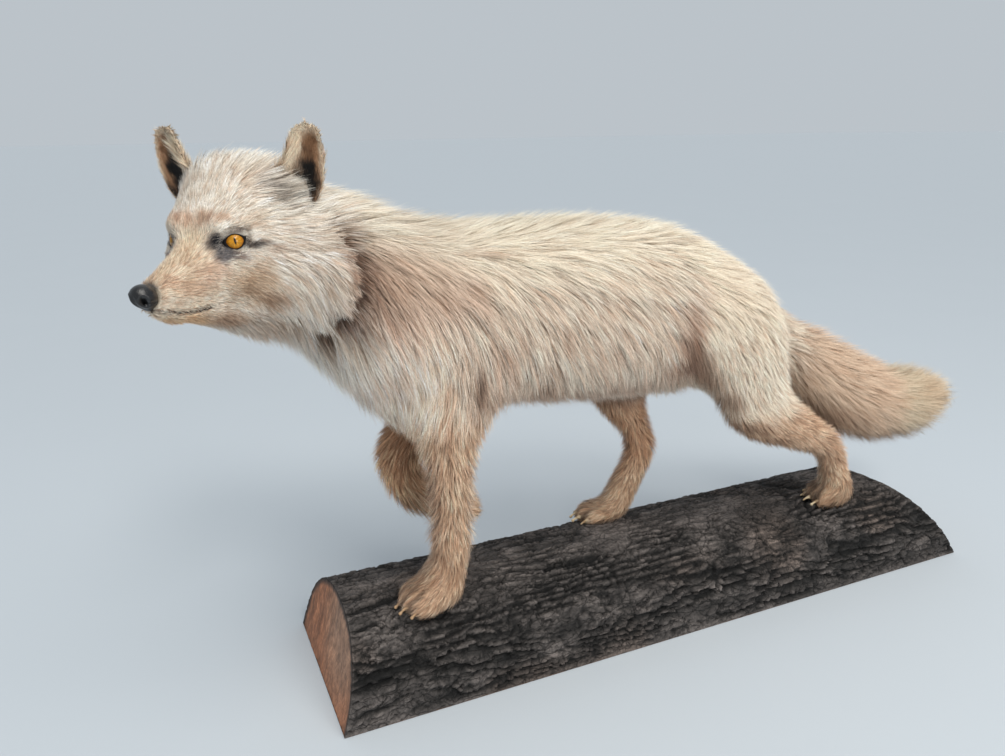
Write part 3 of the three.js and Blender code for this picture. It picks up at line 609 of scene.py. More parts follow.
ear_share = np.clip((ear_h[:, 2] - EAR_BASE[2]) / (EAR_TIP[2] - EAR_BASE[2]), 0, 1)
off_line = (folded_to(ear_h) - mix(EAR_BASE, EAR_TIP, ear_share[:, None])) @ EAR_OUT
wider = off_line * (0.08 * smooth(ear_share, 0.5, 1.0) + 0.25 * smooth(ear_share, 0.75, 1.0))
flare = EAR_FLARE * smooth(-off_line, 3, 14) * (1 - smooth(ear_share, 0.15, 0.6))
move_ears((EAR_OUT, wider), (EAR_UP, EAR_RAISE * smooth(ear_share, 0.4, 1.0)))
move_ears((EAR_OUT, flare))
move_ears((EAR_DOWN, EAR_LOWER * (1 - smooth(ear_h[:, 2], 22, 36))))
ear_label = np.where(ear_h[:, 1] > 0, LABEL["ear_left"], LABEL["ear_right"])

# One surface of skin: body, ears and lids.
body_count = len(skin.points)
ear_end = body_count + len(ears.points)
lid_shape = (len(LID_STEPS), len(LID_TURNS))
all_points, all_faces = [skin.points, ears.points], [skin.faces, ears.faces + body_count]
lid_start = ear_end
for rings, turned in zip(lids, (False, True)):
    quads = grid_quads(*lid_shape, closed=True, start=lid_start)[:, TURNED]
    quads = quads[:, ::-1] if turned else quads
    all_points.append(rings.reshape(-1, 3))
    all_faces.append(np.concatenate([quads[:, [0, 1, 2]], quads[:, [0, 2, 3]]]))
    lid_start += math.prod(lid_shape)
whole = Surface(np.concatenate(all_points), np.concatenate(all_faces))
whole_label = np.concatenate([label, ear_label, np.full(lid_start - ear_end, LABEL["head"])])
lid_step = np.tile(np.repeat(LID_STEPS, lid_shape[1]), len(lids))
lid_corner = np.tile(np.abs(np.cos(LID_TURNS)) ** 8, lid_shape[0] * len(lids))
is_head = whole_label == LABEL["head"]
hp = to_head(whole.points)
folded = folded_to(hp)


def on_body(values, elsewhere=0.0):
    """A field of the body's places, carried to the whole skin."""
    out = np.full(len(whole.points), elsewhere, float)
    out[:body_count] = values
    return out


def on_ears(values):
    """A field of the ears' places, carried to the whole skin."""
    out = np.zeros((len(whole.points), *values.shape[1:]))
    out[body_count:ear_end] = values
    return out


def eased(values, steps=25):
    """A part's values eased into its neighbours', on the body alone."""
    out = values.copy()
    out[:body_count] = skin.smoothed(values[:body_count], steps)
    return out


# ---- the lie of the coat ------------------------------------------------------------------------

# Place and direction in the row frame, for the near side; the far side is its mirror.
LIE = [
    ((-285, -15, 402), (0.85, 0, -0.3)),
    ((-250, -18, 388), (0.9, 0, -0.4)),
    ((-205, -15, 373), (1, 0, -0.15)),
    ((-262, -40, 378), (0.72, -0.1, -0.68)),
    ((-278, -55, 365), (0.55, -0.1, -0.8)),
    ((-255, -68, 335), (0.45, 0, -0.88)),
    ((-236, -72, 300), (0.38, 0, -0.92)),
    ((-264, -50, 258), (0.55, 0.1, -0.83)),
    ((-225, -60, 355), (0.62, 0, -0.78)),
    ((-285, -12, 265), (0.6, 0.05, -0.8)),
    ((-300, -25, 292), (0.75, 0, -0.65)),
    ((-225, -15, 226), (0.8, 0, -0.5)),
    ((-190, -66, 338), (0.5, 0, -0.86)),
    ((-205, -72, 290), (0.2, 0, -0.98)),
    ((-200, -64, 250), (0.05, 0, -1)),
    ((-175, -68, 300), (0.4, 0, -0.9)),
    ((-175, -65, 262), (0.3, 0, -0.95)),
    ((-150, -15, 376), (1, 0, -0.05)),
    ((-50, -15, 371), (1, 0, -0.1)),
    ((25, -15, 350), (0.95, 0, -0.3)),
    ((62, -12, 328), (0.8, 0, -0.6)),
    ((88, -10, 300), (0.7, 0, -0.72)),
    ((-140, -50, 350), (0.75, 0, -0.66)),
    ((-40, -50, 348), (0.75, 0, -0.66)),
    ((30, -48, 328), (0.8, 0, -0.6)),
    ((-130, -70, 315), (0.6, 0, -0.8)),
    ((-40, -68, 308), (0.6, 0, -0.8)),
    ((20, -64, 300), (0.58, 0, -0.81)),
    ((-110, -73, 280), (0.5, 0, -0.85)),
    ((-30, -69, 275), (0.55, 0, -0.83)),
    ((-120, -66, 248), (0.28, 0, -0.95)),
    ((-50, -62, 245), (0.32, 0, -0.94)),
    ((-5, -55, 242), (0.4, 0, -0.9)),
    ((-120, -25, 218), (0.55, 0, -0.8)),
    ((-40, -25, 214), (0.55, 0, -0.8)),
    ((72, -52, 305), (0.5, 0, -0.85)),
    ((55, -64, 270), (0.35, 0, -0.93)),
    ((88, -55, 262), (0.2, 0, -0.97)),
    ((62, -70, 232), (0.3, 0, -0.95)),
    ((90, -64, 205), (0.5, 0, -0.85)),
]
# Lines down the legs and the tail, along which the hair lies.
FORELEG = [(-198, -40, 270), (-211, -39, 215), (-211, -38, 158), (-214, -35, 104), (-222, -35, 86)]
FORELEG += [(-262, -38, 82)]
FAR_FORELEG = [(-192, 34, 240), (-221, 31, 199), (-236, 29, 178), (-231, 29, 153), (-212, 30, 134)]
FAR_FORELEG += [(-192, 32, 127), (-160, 32, 115)]
HIND_LEG = [(78, -47, 207), (112, -44, 178), (150, -41, 156), (182, -38, 139), (194, -36, 114)]
HIND_LEG += [(208, -34, 86), (175, -47, 80)]
FAR_HIND_LEG = [(-18, 40, 222), (-10, 38, 188), (4, 35, 162), (12, 33, 143), (1, 31, 118)]
FAR_HIND_LEG += [(-16, 29, 90), (-55, 38, 80)]
TAIL_LINE = [(92, 0, 266), (142, 0, 240), (190, 0, 206), (236, 0, 175), (282, 0, 157), (328, 0, 152)]
TAIL_LINE += [(385, 0, 151)]
# Place and direction in the head frame; the other side is its mirror.
HEAD_LIE = [
    ((60, 4, -20), (-1, 0.1, 0.3)),
    ((45, 4, -12), (-1, 0, 0.25)),
    ((22, 5, -6), (-1, 0.05, 0.3)),
    ((6, 4, 13), (-0.8, 0.1, 0.7)),
    ((-6, 4, 34), (-0.6, 0.05, 0.8)),
    ((-22, 4, 46), (-0.95, 0.05, 0.5)),
    ((-40, 6, 56), (-1, 0.1, 0.15)),
    ((-38, 30, 43), (-0.6, 0.6, 0.45)),
    ((-40, 24, 48), (-0.4, 0.35, 0.85)),
    ((-34, 38, 34), (-0.6, 0.75, -0.25)),
    ((-40, 50, 19), (-0.75, 0.6, -0.4)),
    ((-52, 60, 14), (-0.9, 0.2, -0.4)),
    ((-30, 20, 50), (-0.7, 0.15, 0.7)),
    ((-60, 6, 55), (-1, 0, -0.2)),
    ((-85, 8, 45), (-1, 0, -0.35)),
    ((48, 9, -25), (-1, 0.25, 0)),
    ((35, 11, -33), (-1, 0.25, -0.1)),
    ((22, 13, -24), (-1, 0.35, -0.1)),
    ((5, 20, -22), (-1, 0.5, -0.2)),
    ((-8, 30, -20), (-0.9, 0.5, -0.3)),
    ((-18, 36, -38), (-0.7, 0.4, -0.6)),
    ((-30, 52, -30), (-0.6, 0.45, -0.75)),
    ((-35, 70, -20), (-0.55, 0.35, -0.75)),
    ((-35, 66, -48), (-0.6, 0.25, -0.8)),
    ((-38, 62, 5), (-0.65, 0.45, -0.6)),
    ((-22, 40, 0), (-0.8, 0.5, -0.25)),
    ((-4, 20, 13), (-0.7, 0.35, 0.65)),
    ((-14, 28, 20), (-0.8, 0.4, 0.5)),
    ((-28, 38, 26), (-0.8, 0.5, 0.25)),
    ((-44, 55, 18), (-0.8, 0.4, -0.4)),
    ((-58, 48, 20), (-0.9, 0.2, -0.5)),
    ((40, 6, -48), (-1, 0.15, -0.1)),
    ((15, 10, -56), (-1, 0.15, -0.2)),
    ((-10, 8, -66), (-0.95, 0.1, -0.4)),
    ((-30, 20, -74), (-0.85, 0.1, -0.55)),
]
guide_place, guide_way = [], []


def add_guides(places, ways):
    guide_place.extend(places)
    guide_way.extend(unit(np.asarray(ways, float)))


for flip in BOTH:
    add_guides([np.array(p) * flip for p, _ in LIE], [np.array(d) * flip for _, d in LIE])
    places = from_head(np.array([p for p, _ in HEAD_LIE], float) * flip)
    add_guides(places, (np.array([d for _, d in HEAD_LIE], float) * flip) @ HEAD_TURN.T)
for line in (FORELEG, FAR_FORELEG, HIND_LEG, FAR_HIND_LEG, TAIL_LINE):
    dense = along(np.array(line, float), 4)
    add_guides((dense[1:] + dense[:-1]) / 2, dense[1:] - dense[:-1])
guide_place, guide_way = np.array(guide_place, float), np.array(guide_way, float)

way = np.zeros_like(whole.points)
for p, d in zip(guide_place, guide_way):
    way += (((whole.points - p) ** 2).sum(1) + 60.0)[:, None] ** -2.2 * d
on_ear = is_part(whole_label, "ear")
ear_way = side_of(hp) * (EAR_TIP - EAR_BASE)
way[on_ear] = unit(ear_way @ HEAD_TURN.T)[on_ear]
way = flat_to(way, whole.normal)

# ---- markings -----------------------------------------------------------------------------------

# The coat's ground colour on each part.
GROUND = {"head": (0.95, 0.925, 0.87), "neck": (0.91, 0.86, 0.80), "rump": (0.905, 0.855, 0.78)}
GROUND.update(chest=CREAM, loin=CREAM, thigh=CREAM, ear=BEIGE)
GROUND.update(tail_root=BEIGE, tail_brush=(0.845, 0.795, 0.69))
GROUND.update(forearm=(0.91, 0.80, 0.68), forearm_right=(0.93, 0.77, 0.61), paw_fore=(0.90, 0.785, 0.66))
GROUND.update(shank=TAN, shank_right=(0.88, 0.73, 0.59), paw_hind=(0.93, 0.81, 0.68))

# Marks in the head frame, both sides alike: middle, radii, colour, strength.
HEAD_MARKS = [
    ((25, 0, -20), (48, 26, 34), (0.95, 0.86, 0.745), 0.8),  # tan muzzle
    ((24, 0, -2), (26, 9, 14), (0.93, 0.86, 0.75), 0.8),  # pale bridge
    ((45, 10, -34), (18, 7, 4.5), (0.97, 0.92, 0.84), 0.8),  # pale upper lip
    ((44, 10, -21), (10, 6, 4), (0.67, 0.53, 0.42), 0.5),  # whisker pad
    ((28, 13, -26), (16, 7, 6), (0.86, 0.73, 0.62), 0.45),
    ((12, 18, -18), (14, 9, 9), (0.78, 0.65, 0.56), 0.45),
    ((30, 4, -50), (28, 12, 9), (0.88, 0.72, 0.54), 0.8),  # tan lower jaw
    ((-2, 14, -54), (18, 12, 10), (0.68, 0.53, 0.40), 0.6),
    ((-21, 38, -42), (15, 10, 6), (0.56, 0.42, 0.31), 0.65),  # brown cheek corner
    ((-6, 30, -30), (14, 8, 9), (0.76, 0.65, 0.54), 0.4),
    ((-8, 30, -20), (8, 6, 4), (0.93, 0.87, 0.78), 0.4),
    ((53, 0, -21), (5, 7, 4), (0.34, 0.32, 0.31), 0.8),  # bare grey skin above the nose
    ((6, 17, -1), (7, 7, 5), (0.08, 0.08, 0.11), 0.95),  # slate patch before the eye
    ((4, 21, -8), (9, 6, 6), (0.29, 0.29, 0.32), 0.8),
    ((-2, 26, -10), (8, 6, 3.0), (0.36, 0.30, 0.29), 0.7),
    # painted shadow of the brow over the eye
    ((-6, 23, 6), (10, 8, 2.4), (0.34, 0.27, 0.24), 0.5),
    ((-15, 31, -3), (10, 8, 3.0), (0.10, 0.07, 0.06), 1.0),  # dark line from the rear corner
    ((-27, 42, -7), (12, 6, 1.8), (0.55, 0.44, 0.37), 0.5),
    ((6, 9, 16), (7, 11, 8), (0.84, 0.72, 0.62), 0.5),  # brow
    ((6, 5, 18), (6, 2.6, 9), (0.68, 0.54, 0.44), 0.4),
    ((5, 12, 17), (7, 2.4, 8), (0.60, 0.46, 0.37), 0.5),
    ((-1, 19, 15), (9, 5, 4), (0.78, 0.63, 0.52), 0.5),
    ((-16, 33, 13), (14, 8, 6), (0.84, 0.75, 0.66), 0.3),
    ((-35, 35, 38), (9, 9, 12), (0.50, 0.46, 0.44), 0.6),  # grey hairs before the ear
    ((-41, 42, 32), (8, 8, 9), (0.14, 0.12, 0.11), 0.9),
    ((-44, 50, 23), (7, 7, 6), (0.28, 0.24, 0.22), 0.6),
    ((-24, 24, 38), (10, 5, 8), (0.80, 0.66, 0.55), 0.3),
    ((-14, 30, -28), (24, 16, 16), (0.74, 0.60, 0.44), 0.45),  # cheek
    ((-22, 50, -38), (20, 16, 10), (0.92, 0.86, 0.78), 0.4),
    ((-15, 40, -50), (14, 12, 8), (0.82, 0.71, 0.60), 0.4),
    ((-40, 20, -70), (24, 30, 12), (0.76, 0.65, 0.55), 0.45),
    ((57, 0, -38), (5, 3.5, 1.8), (0.12, 0.10, 0.09), 0.9),
]
# Marks in the row frame, for the near side and its mirror: the painted shadow in the groove behind the ruff,
# then the others.
GROOVE_SHADOW_MARKS = [
    ((-286, -44, 386), (8, 14, 9), (0.40, 0.29, 0.22), 0.8),
    ((-279, -48, 376), (9, 14, 12), (0.30, 0.21, 0.15), 0.95),
    ((-275, -58, 362), (9, 14, 12), (0.26, 0.18, 0.13), 1.0),
    ((-274, -66, 346), (9, 14, 13), (0.26, 0.18, 0.13), 1.0),
    ((-277, -67, 330), (10, 14, 12), (0.28, 0.20, 0.15), 1.0),
    ((-291, -60, 316), (12, 13, 9), (0.28, 0.20, 0.15), 0.95),
    ((-305, -48, 304), (11, 13, 8), (0.36, 0.27, 0.20), 0.75),
]
BODY_MARKS = [
    # painted shadow of the ruff, reaching on down the neck beyond the groove
    ((-266, -60, 366), (9, 14, 13), (0.38, 0.28, 0.21), 0.8),
    ((-264, -68, 348), (9, 14, 14), (0.34, 0.25, 0.19), 0.8),
    ((-267, -70, 330), (10, 14, 13), (0.36, 0.27, 0.20), 0.8),
    ((-280, -62, 308), (13, 14, 9), (0.44, 0.33, 0.27), 0.65),
    ((-254, -66, 338), (20, 20, 38), (0.68, 0.54, 0.45), 0.6),
    ((-232, -66, 330), (30, 20, 44), (0.76, 0.65, 0.56), 0.5),
    ((-205, -70, 330), (32, 20, 26), (0.78, 0.66, 0.57), 0.45),
    ((-164, -56, 352), (14, 12, 6), (0.55, 0.42, 0.34), 0.5),
    ((-186, -68, 318), (9, 14, 16), (0.68, 0.54, 0.45), 0.4),
    ((-194, -64, 250), (7, 12, 18), (0.32, 0.23, 0.17), 0.7),  # painted shade in the crease behind the elbow
    ((-174, -62, 231), (22, 18, 8), (0.42, 0.31, 0.24), 0.65),
    ((-172, -66, 262), (12, 14, 20), (0.72, 0.59, 0.50), 0.35),
    # painted shade under the belly
    ((-140, -45, 223), (32, 30, 10), (0.50, 0.39, 0.31), 0.65),
    ((-60, -45, 217), (60, 34, 10), (0.54, 0.43, 0.35), 0.65),
    ((0, -52, 236), (24, 22, 10), (0.54, 0.43, 0.35), 0.6),
    # painted shade in the fold between the flank and the thigh
    ((-4, -62, 284), (10, 16, 16), (0.66, 0.53, 0.44), 0.5),
    ((-2, -60, 260), (12, 18, 18), (0.50, 0.38, 0.30), 0.7),
    ((6, -58, 240), (14, 20, 14), (0.44, 0.33, 0.26), 0.75),
    ((20, -58, 222), (15, 20, 13), (0.46, 0.35, 0.27), 0.75),
    ((38, -58, 203), (16, 20, 11), (0.48, 0.37, 0.29), 0.7),  # front edge of the thigh, painted shade in its fold
    ((66, -54, 178), (26, 16, 8), (0.50, 0.39, 0.31), 0.6),
    ((100, -48, 160), (26, 14, 8), (0.56, 0.44, 0.35), 0.5),
    ((120, -20, 205), (26, 30, 12), (0.74, 0.62, 0.54), 0.5),
    ((200, -10, 150), (60, 40, 18), (0.64, 0.51, 0.41), 0.65),  # painted shade under the tail
    ((290, -5, 114), (90, 40, 18), (0.52, 0.41, 0.32), 0.7),
    ((348, -33, 158), (30, 34, 36), (0.76, 0.64, 0.52), 0.4),  # tip of the tail
    ((-218, -58, 240), (9, 9, 40), (0.76, 0.62, 0.50), 0.35),
    # painted light on the rear of the near foreleg and painted shade on its front
    ((-196, -45, 150), (7, 20, 60), (0.95, 0.91, 0.84), 0.5),
    ((-228, -46, 150), (8, 20, 60), (0.74, 0.61, 0.50), 0.35),
]
# Marks on one side only.
ONE_SIDED = [
    ((-222, 34, 200), (40, 24, 56), (0.96, 0.785, 0.61), 0.8),  # lifted foreleg
    # painted shade on the inner side of the lifted foreleg
    ((-200, 20, 200), (12, 14, 30), (0.46, 0.33, 0.24), 0.45),
    ((-240, 18, 178), (12, 16, 22), (0.78, 0.60, 0.46), 0.5),
    ((-190, 25, 132), (26, 20, 12), (0.60, 0.46, 0.37), 0.4),
    ((-14, 30, 212), (34, 26, 26), (0.30, 0.22, 0.17), 0.8),  # painted shade on the inside of the far thigh
    ((190, -38, 128), (14, 14, 26), (0.76, 0.63, 0.52), 0.35),
]


def mark_weight(points, middle, radii, strength):
    reach = np.sqrt((((points - middle) / radii) ** 2).sum(1))
    return strength * (1 - smooth(reach, 0.45, 1.35))


def marked(colour, points, marks, share=1.0):
    """The colour with marks laid over it, as strongly as the share says."""
    for middle, radii, tone, strength in marks:
        colour = shaded(colour, tone, mark_weight(points, middle, radii, strength) * share)
    return colour


back = smooth(whole.points[:, 2], 318, 362) * is_part(whole_label, "neck", "chest", "loin", "rump")
ground_tint = eased(shaded(by_part(GROUND)[whole_label], PALE, 0.6 * back), 40)
head_share = eased(is_head.astype(float), 6)  # how much of the head's marks each place takes


def markings(points, ground_colour, head_like, clear=0.0):
    """The coat's colour at places, as sRGB, over the ground's. Where clear is 1, the groove's painted shadow
    is left out.
    """
    wobble = points + lumps3(points, 9, 11) * 2.5
    local = to_head(wobble + lumps3(points, 2.6, 14) * 1.4)
    mirrored = folded_to(wobble, -1.0)
    colour = marked(ground_colour, folded_to(local), HEAD_MARKS, head_like)
    colour = marked(colour, mirrored, GROOVE_SHADOW_MARKS, 1 - clear)
    colour = marked(colour, mirrored, BODY_MARKS)
    return marked(colour, wobble, ONE_SIDED)


# Ears: black low in the cup, tan-brown above it, cream hair from the inner edge, and a pale rim.
EAR_TURN = math.radians(15)
EAR_HALF_WIDTH = 16.5
EAR_CREAM, EAR_BROWN, EAR_TAN = (0.98, 0.91, 0.81), (0.58, 0.43, 0.31), (0.76, 0.60, 0.46)
EAR_BLACK, EAR_BACK, EAR_BACK_PATCH = (0.07, 0.055, 0.05), (0.96, 0.87, 0.76), (0.88, 0.76, 0.63)
ear_local = folded[body_count:ear_end]
ear_front = np.array([math.cos(EAR_TURN), math.sin(EAR_TURN), 0.0])
ear_side = np.array([-math.sin(EAR_TURN), math.cos(EAR_TURN), 0.0])
ear_line = EAR_TIP - EAR_BASE
ear_t = ((ear_local - EAR_BASE) @ ear_line) / (ear_line @ ear_line)
ear_x = (ear_local - EAR_BASE - ear_t[:, None] * ear_line) @ ear_side
ear_x /= EAR_HALF_WIDTH * np.sqrt(np.clip(1.08 - ear_t, 0.12, 1))
ear_inner = smooth(((ears.normal @ HEAD_TURN) * side_of(ear_h)) @ ear_front, -0.05, 0.35)
ear_rim = np.maximum(smooth(np.abs(ear_x), 0.72, 0.98), smooth(ear_t, 0.84, 0.98))
ear_patch = lumps(ears.points, 7, 5) * 0.12
ear_ragged = ear_x + 0.22 * lumps(ears.points, 4, 6) + 0.12 * lumps(ears.points, 1.8, 7)
ear_black = (1 - smooth(ear_t + ear_patch, 0.45, 0.66)) * np.exp(-(((ear_ragged - 0.2) / 0.5) ** 4))


ear_cup_tone = shaded(EAR_BROWN, EAR_CREAM, smooth(-ear_ragged, -0.05, 0.6))
ear_cup_tone = shaded(ear_cup_tone, EAR_BLACK, ear_black)
ear_cup_tone = shaded(ear_cup_tone, EAR_TAN, smooth(ear_ragged, 0.5, 0.8))
ear_back_tone = shaded(EAR_BACK, EAR_BACK_PATCH, smooth(ear_patch, -0.02, 0.1))
ear_colour = shaded(shaded(ear_back_tone, ear_cup_tone, ear_inner), EAR_CREAM, ear_rim * 0.9)

LID_BLACK, MOUTH_DARK = (0.05, 0.04, 0.045), (0.16, 0.11, 0.10)
skin_colour = markings(whole.points + whole.normal * 3, ground_tint, head_share)
skin_colour[body_count:ear_end] = ear_colour
# Painted shade in the gaps between the toes.
skin_colour[:body_count] *= (1 - 0.5 * toe_gap)[:, None]
lid_rim = np.zeros(len(skin_colour))
lid_rim[ear_end:] = 1 - smooth(lid_step - 0.4 * lid_corner, 1.04, 1.3)
skin_colour = shaded(skin_colour, LID_BLACK, lid_rim)
skin_colour = shaded(skin_colour, MOUTH_DARK, on_body(np.exp(-((mouth_distance / 2.1) ** 4))))

hide = Shader("hide", Roughness=0.8, Specular_IOR_Level=0.25)
hide_grain = hide.noise(900, 4)
hide.grained(hide_grain, 0.55, 1.0)
hide.bump(hide_grain, 0.0006, 0.7)
# The skin is made a little darker than the coat over it, as painted shade in the gaps between the hairs.
skin_tint = linear(skin_colour * 0.88)
add_piece("skin", whole.points, whole.faces, skin_tint, hide.material, FLESH + EARS)

# ---- the coat -----------------------------------------------------------------------------------

# Length, width of a hair lock, hairs to a tuft and hairs to a square millimetre, on each part.
HAIR = {
    "head": (24, 0.34, 4, 1.35),
    "neck": (34, 0.29, 5, 1.15),
    "chest": (33, 0.30, 5, 1.08),
    "loin": (33, 0.30, 5, 1.08),
    "rump": (28, 0.30, 5, 1.12),
    "tail_root": (31, 0.27, 4, 1.15),
    "tail_brush": (35, 0.27, 4, 1.2),
    "thigh": (20, 0.29, 4, 1.3),
    "forearm": (16, 0.27, 4, 1.6),
    "shank": (12, 0.26, 4, 1.8),
    "paw_fore": (11, 0.26, 4, 2.0),
    "paw_hind": (9, 0.26, 4, 2.0),
    "ear": (7, 0.25, 3, 3.0),
}


def on_head_near(middle, radii, low, high):
    return is_head * within(folded, middle, radii, low, high)


height_above, forward_back = whole.points[:, 2], whole.points[:, 0]
head_back, head_up = -hp[:, 0], hp[:, 2]
on_trunk = is_part(whole_label, "neck", "chest", "loin")
on_tail = is_part(whole_label, "tail")
on_lifted_paw = whole_label == LABEL["paw_fore_right"]
length, width, crowd, density = (eased(by_part(HAIR)[whole_label][:, k]) for k in range(4))
LIFTED_PAW_HAIR = 9
length = length + LIFTED_PAW_HAIR * on_lifted_paw

# How far the coat stands out beyond the frame's outline.
PUFF = {"forearm": 3.4, "forearm_left": 6.4, "shank": 3.2, "thigh_right": 3.0, "paw_hind": 1.6}
PUFF.update(paw_fore=0.6, paw_fore_left=1.4, paw_fore_right=9.0, tail_root=6.0, tail_brush=4.0)
TOE_FUR, GAP_FUR, LEAST_FUR, TOE_HAIR = 2.2, 2.4, 0.8, 2.5
height = on_body(coat_height + skin.smoothed(by_part(PUFF)[label], 10), 1.6)
height = np.maximum(height + TOE_FUR * on_body(toe) - GAP_FUR * on_body(toe_gap), LEAST_FUR)
length = length + TOE_HAIR * on_body(toe)

# The face has short, thin, close hair that grows longer towards the back of the head.
FACE_HAIR, NAPE_HAIR, RUFF_HAIR = 4.6, 22, 8
back_on_head = smooth(head_back, -4, 46)
face_length = FACE_HAIR + NAPE_HAIR * back_on_head + RUFF_HAIR * smooth(folded[:, 1], 36, 60) * back_on_head
length = np.where(is_head, np.minimum(face_length, length + 6), length)
width = np.where(is_head, mix(0.23, 0.28, back_on_head), width)
density = np.where(is_head, mix(3.2, 1.85, back_on_head), density)
crowd = np.where(is_head, mix(2.5, 5, back_on_head), crowd)
length = length * on_body(1 - 0.6 * np.exp(-((mouth_distance / 4) ** 2)), 1.0)
by_eye = on_head_near([4, 19, 0], [11, 9, 8], 0.6, 1.4)
length, height = length * (1 - 0.35 * by_eye), height * (1 - 0.5 * by_eye)

# The ears: longer at the rim, at the foot and on the inner edge, short at the top and in the cup.
cup, edge, across_ear, up_ear = (on_ears(each) for each in (ear_inner, ear_rim, ear_x, ear_t))
ear_foot = on_ear * (1 - smooth(up_ear, -0.05, 0.35))
ear_top = on_ear * smooth(up_ear, 0.55, 0.9)
medial = smooth(-across_ear, 0.1, 0.8) * cup
ear_hair, ear_width, ear_crowd, ear_density = HAIR["ear"]
length = np.where(on_ear, ear_hair, length) + on_ear * (4 * edge + 7 * medial - 2.0 * cup * (1 - medial))
length = length + 8 * ear_foot * (1 - 0.6 * cup) - (length - 2.0) * ear_top
height = np.where(on_ear, 1.4 + 2.2 * edge + 1.2 * (1 - cup), height)
width = np.where(on_ear, ear_width, width)
density = np.where(on_ear, ear_density, density)
crowd = np.where(on_ear, ear_crowd, crowd)

# Under the belly and the throat the hair hangs, in a ragged hem.
BELLY_HANG, TAIL_HANG, THROAT_HANG = 0.8, 0.12, 0.5
hang = np.where(on_trunk, BELLY_HANG * (1 - smooth(height_above, 222, 258)), 0)
hang = np.where(on_tail, TAIL_HANG, hang)
length = length * np.where(on_trunk, 1 + 0.15 * (1 - smooth(height_above, 225, 260)), 1)
hem = np.where(on_trunk, 1 - smooth(height_above, 228, 256), 0)
length = length * (1 + 0.28 * hem * lumps(whole.points, 11, 41))
throat = is_head * (1 - smooth(head_up, -68, -48)) * smooth(head_back, -8, 12)
hang, length = hang + THROAT_HANG * throat, length + 6 * throat
under_jaw = within(folded, [-26, 16, -68], [26, 28, 17], 0.5, 1.3)
height = height + 6 * throat + 8 * under_jaw
hang = eased(hang, 10)


def groove_at(points):
    """1 in the groove that runs behind the ruff, from the ear to the throat, where the coat is low."""
    near_side = folded_to(points, -1.0)
    return np.max([mark_weight(near_side, middle, radii, 1.0) for middle, radii, *_ in GROOVE_SHADOW_MARKS], axis=0)


GROOVE_SUNK, GROOVE_SHORTENED, RUFF_RAISED = 0.8, 0.4, 0.4
groove = groove_at(whole.points + whole.normal * height[:, None])
height = height * (1 - GROOVE_SUNK * groove)
length = length * (1 - GROOVE_SHORTENED * groove)
ruff = is_head * smooth(folded[:, 1], 48, 66) * smooth(-folded[:, 0], 8, 26)
height = height * (1 + RUFF_RAISED * ruff)
crown = is_head * smooth(head_up, 26, 42) * smooth(head_back, -2, 14)
by_ear = on_head_near([-36, 34, 42], [24, 20, 22], 0.5, 1.25)
crown_side = on_head_near([-31, 16, 50], [18, 13, 14], 0.4, 1.3)
height = height + 11 * by_ear + 6 * crown_side * (1 - by_ear)
length = length + 6 * by_ear
under_ear = on_head_near([-46, 54, 14], [16, 14, 12], 0.5, 1.3)
height, length = height + 6 * under_ear, length + 4 * under_ear

# How far the hair stands up from the skin.
CROWN_STAND, BY_EAR_STAND, TAIL_STAND, LEG_STAND, LIFTED_STAND = 0.5, 0.85, 0.46, 0.15, 0.35
stand = np.maximum(CROWN_STAND * crown, BY_EAR_STAND * by_ear) + 0.15 * ruff + TAIL_STAND * on_tail
stand += LEG_STAND * is_part(whole_label, "paw", "forearm", "shank")
stand += LIFTED_STAND * on_lifted_paw * smooth(forward_back, -182, -170)
ear_stand = 0.5 * edge * (1 - ear_top) + 0.15 * ear_top * np.maximum(edge, 1 - cup) + 0.2 * ear_foot
stand = eased(stand + on_ear * ear_stand, 8)
# The long hairs of the ear's inner edge lie across its cup.
cross_way = side_of(hp) * (ear_side + 0.5 * ear_line / 45)
spreading = 0.9 * medial + 1.6 * ear_top * across_ear
way = np.where(on_ear[:, None], way + (cross_way @ HEAD_TURN.T) * spreading[:, None], way)
way = flat_to(way, whole.normal)

# Nothing grows on the lids, in the mouth or behind the eyes and the nose pad.
EYE_BALD, NOSE_BALD, EAR_HIDDEN_BELOW = 6.4, [9, 9, 8.5], 15
bald = on_body(mouth_distance < 2.0) > 0
bald[ear_end:] = lid_step < 1.3
for flip in BOTH:
    local = hp - EYE_AT * flip
    ahead = local @ (EYE_AXIS * flip)
    off = local - ahead[:, None] * (EYE_AXIS * flip)
    bald |= (ahead > -2) & (np.linalg.norm(off * [1, 1, 1.3], axis=1) < EYE_BALD)
bald |= np.linalg.norm((hp - NOSE_AT) / NOSE_BALD, axis=1) < 1.0
bald |= on_ear & (head_up < EAR_HIDDEN_BELOW)
density = np.where(bald, 0, density)


def scatter(per_area):
    """Places on the skin, as many to an area as the field at the vertices says, evenly mixed."""
    share = whole.area * per_area[whole.faces].mean(1)
    total = np.cumsum(share)
    count = int(total[-1])
    at = (np.arange(count) + random.random(count)) / count * total[-1]
    face = np.minimum(np.searchsorted(total, at), len(share) - 1)
    r1, r2 = np.sqrt(random.random(count)), random.random(count)
    bary = np.stack([1 - r1, r1 * (1 - r2), r1 * r2], 1)
    return face, bary


def at_face(field, face, bary):
    values = field[whole.faces[face]]
    return (values * bary.reshape(bary.shape + (1,) * (field.ndim - 1))).sum(1)


def swung(ways, normals, angle):
    """The directions turned about the normals, by an angle each."""
    return ways * np.cos(angle)[:, None] + np.cross(normals, ways) * np.sin(angle)[:, None]


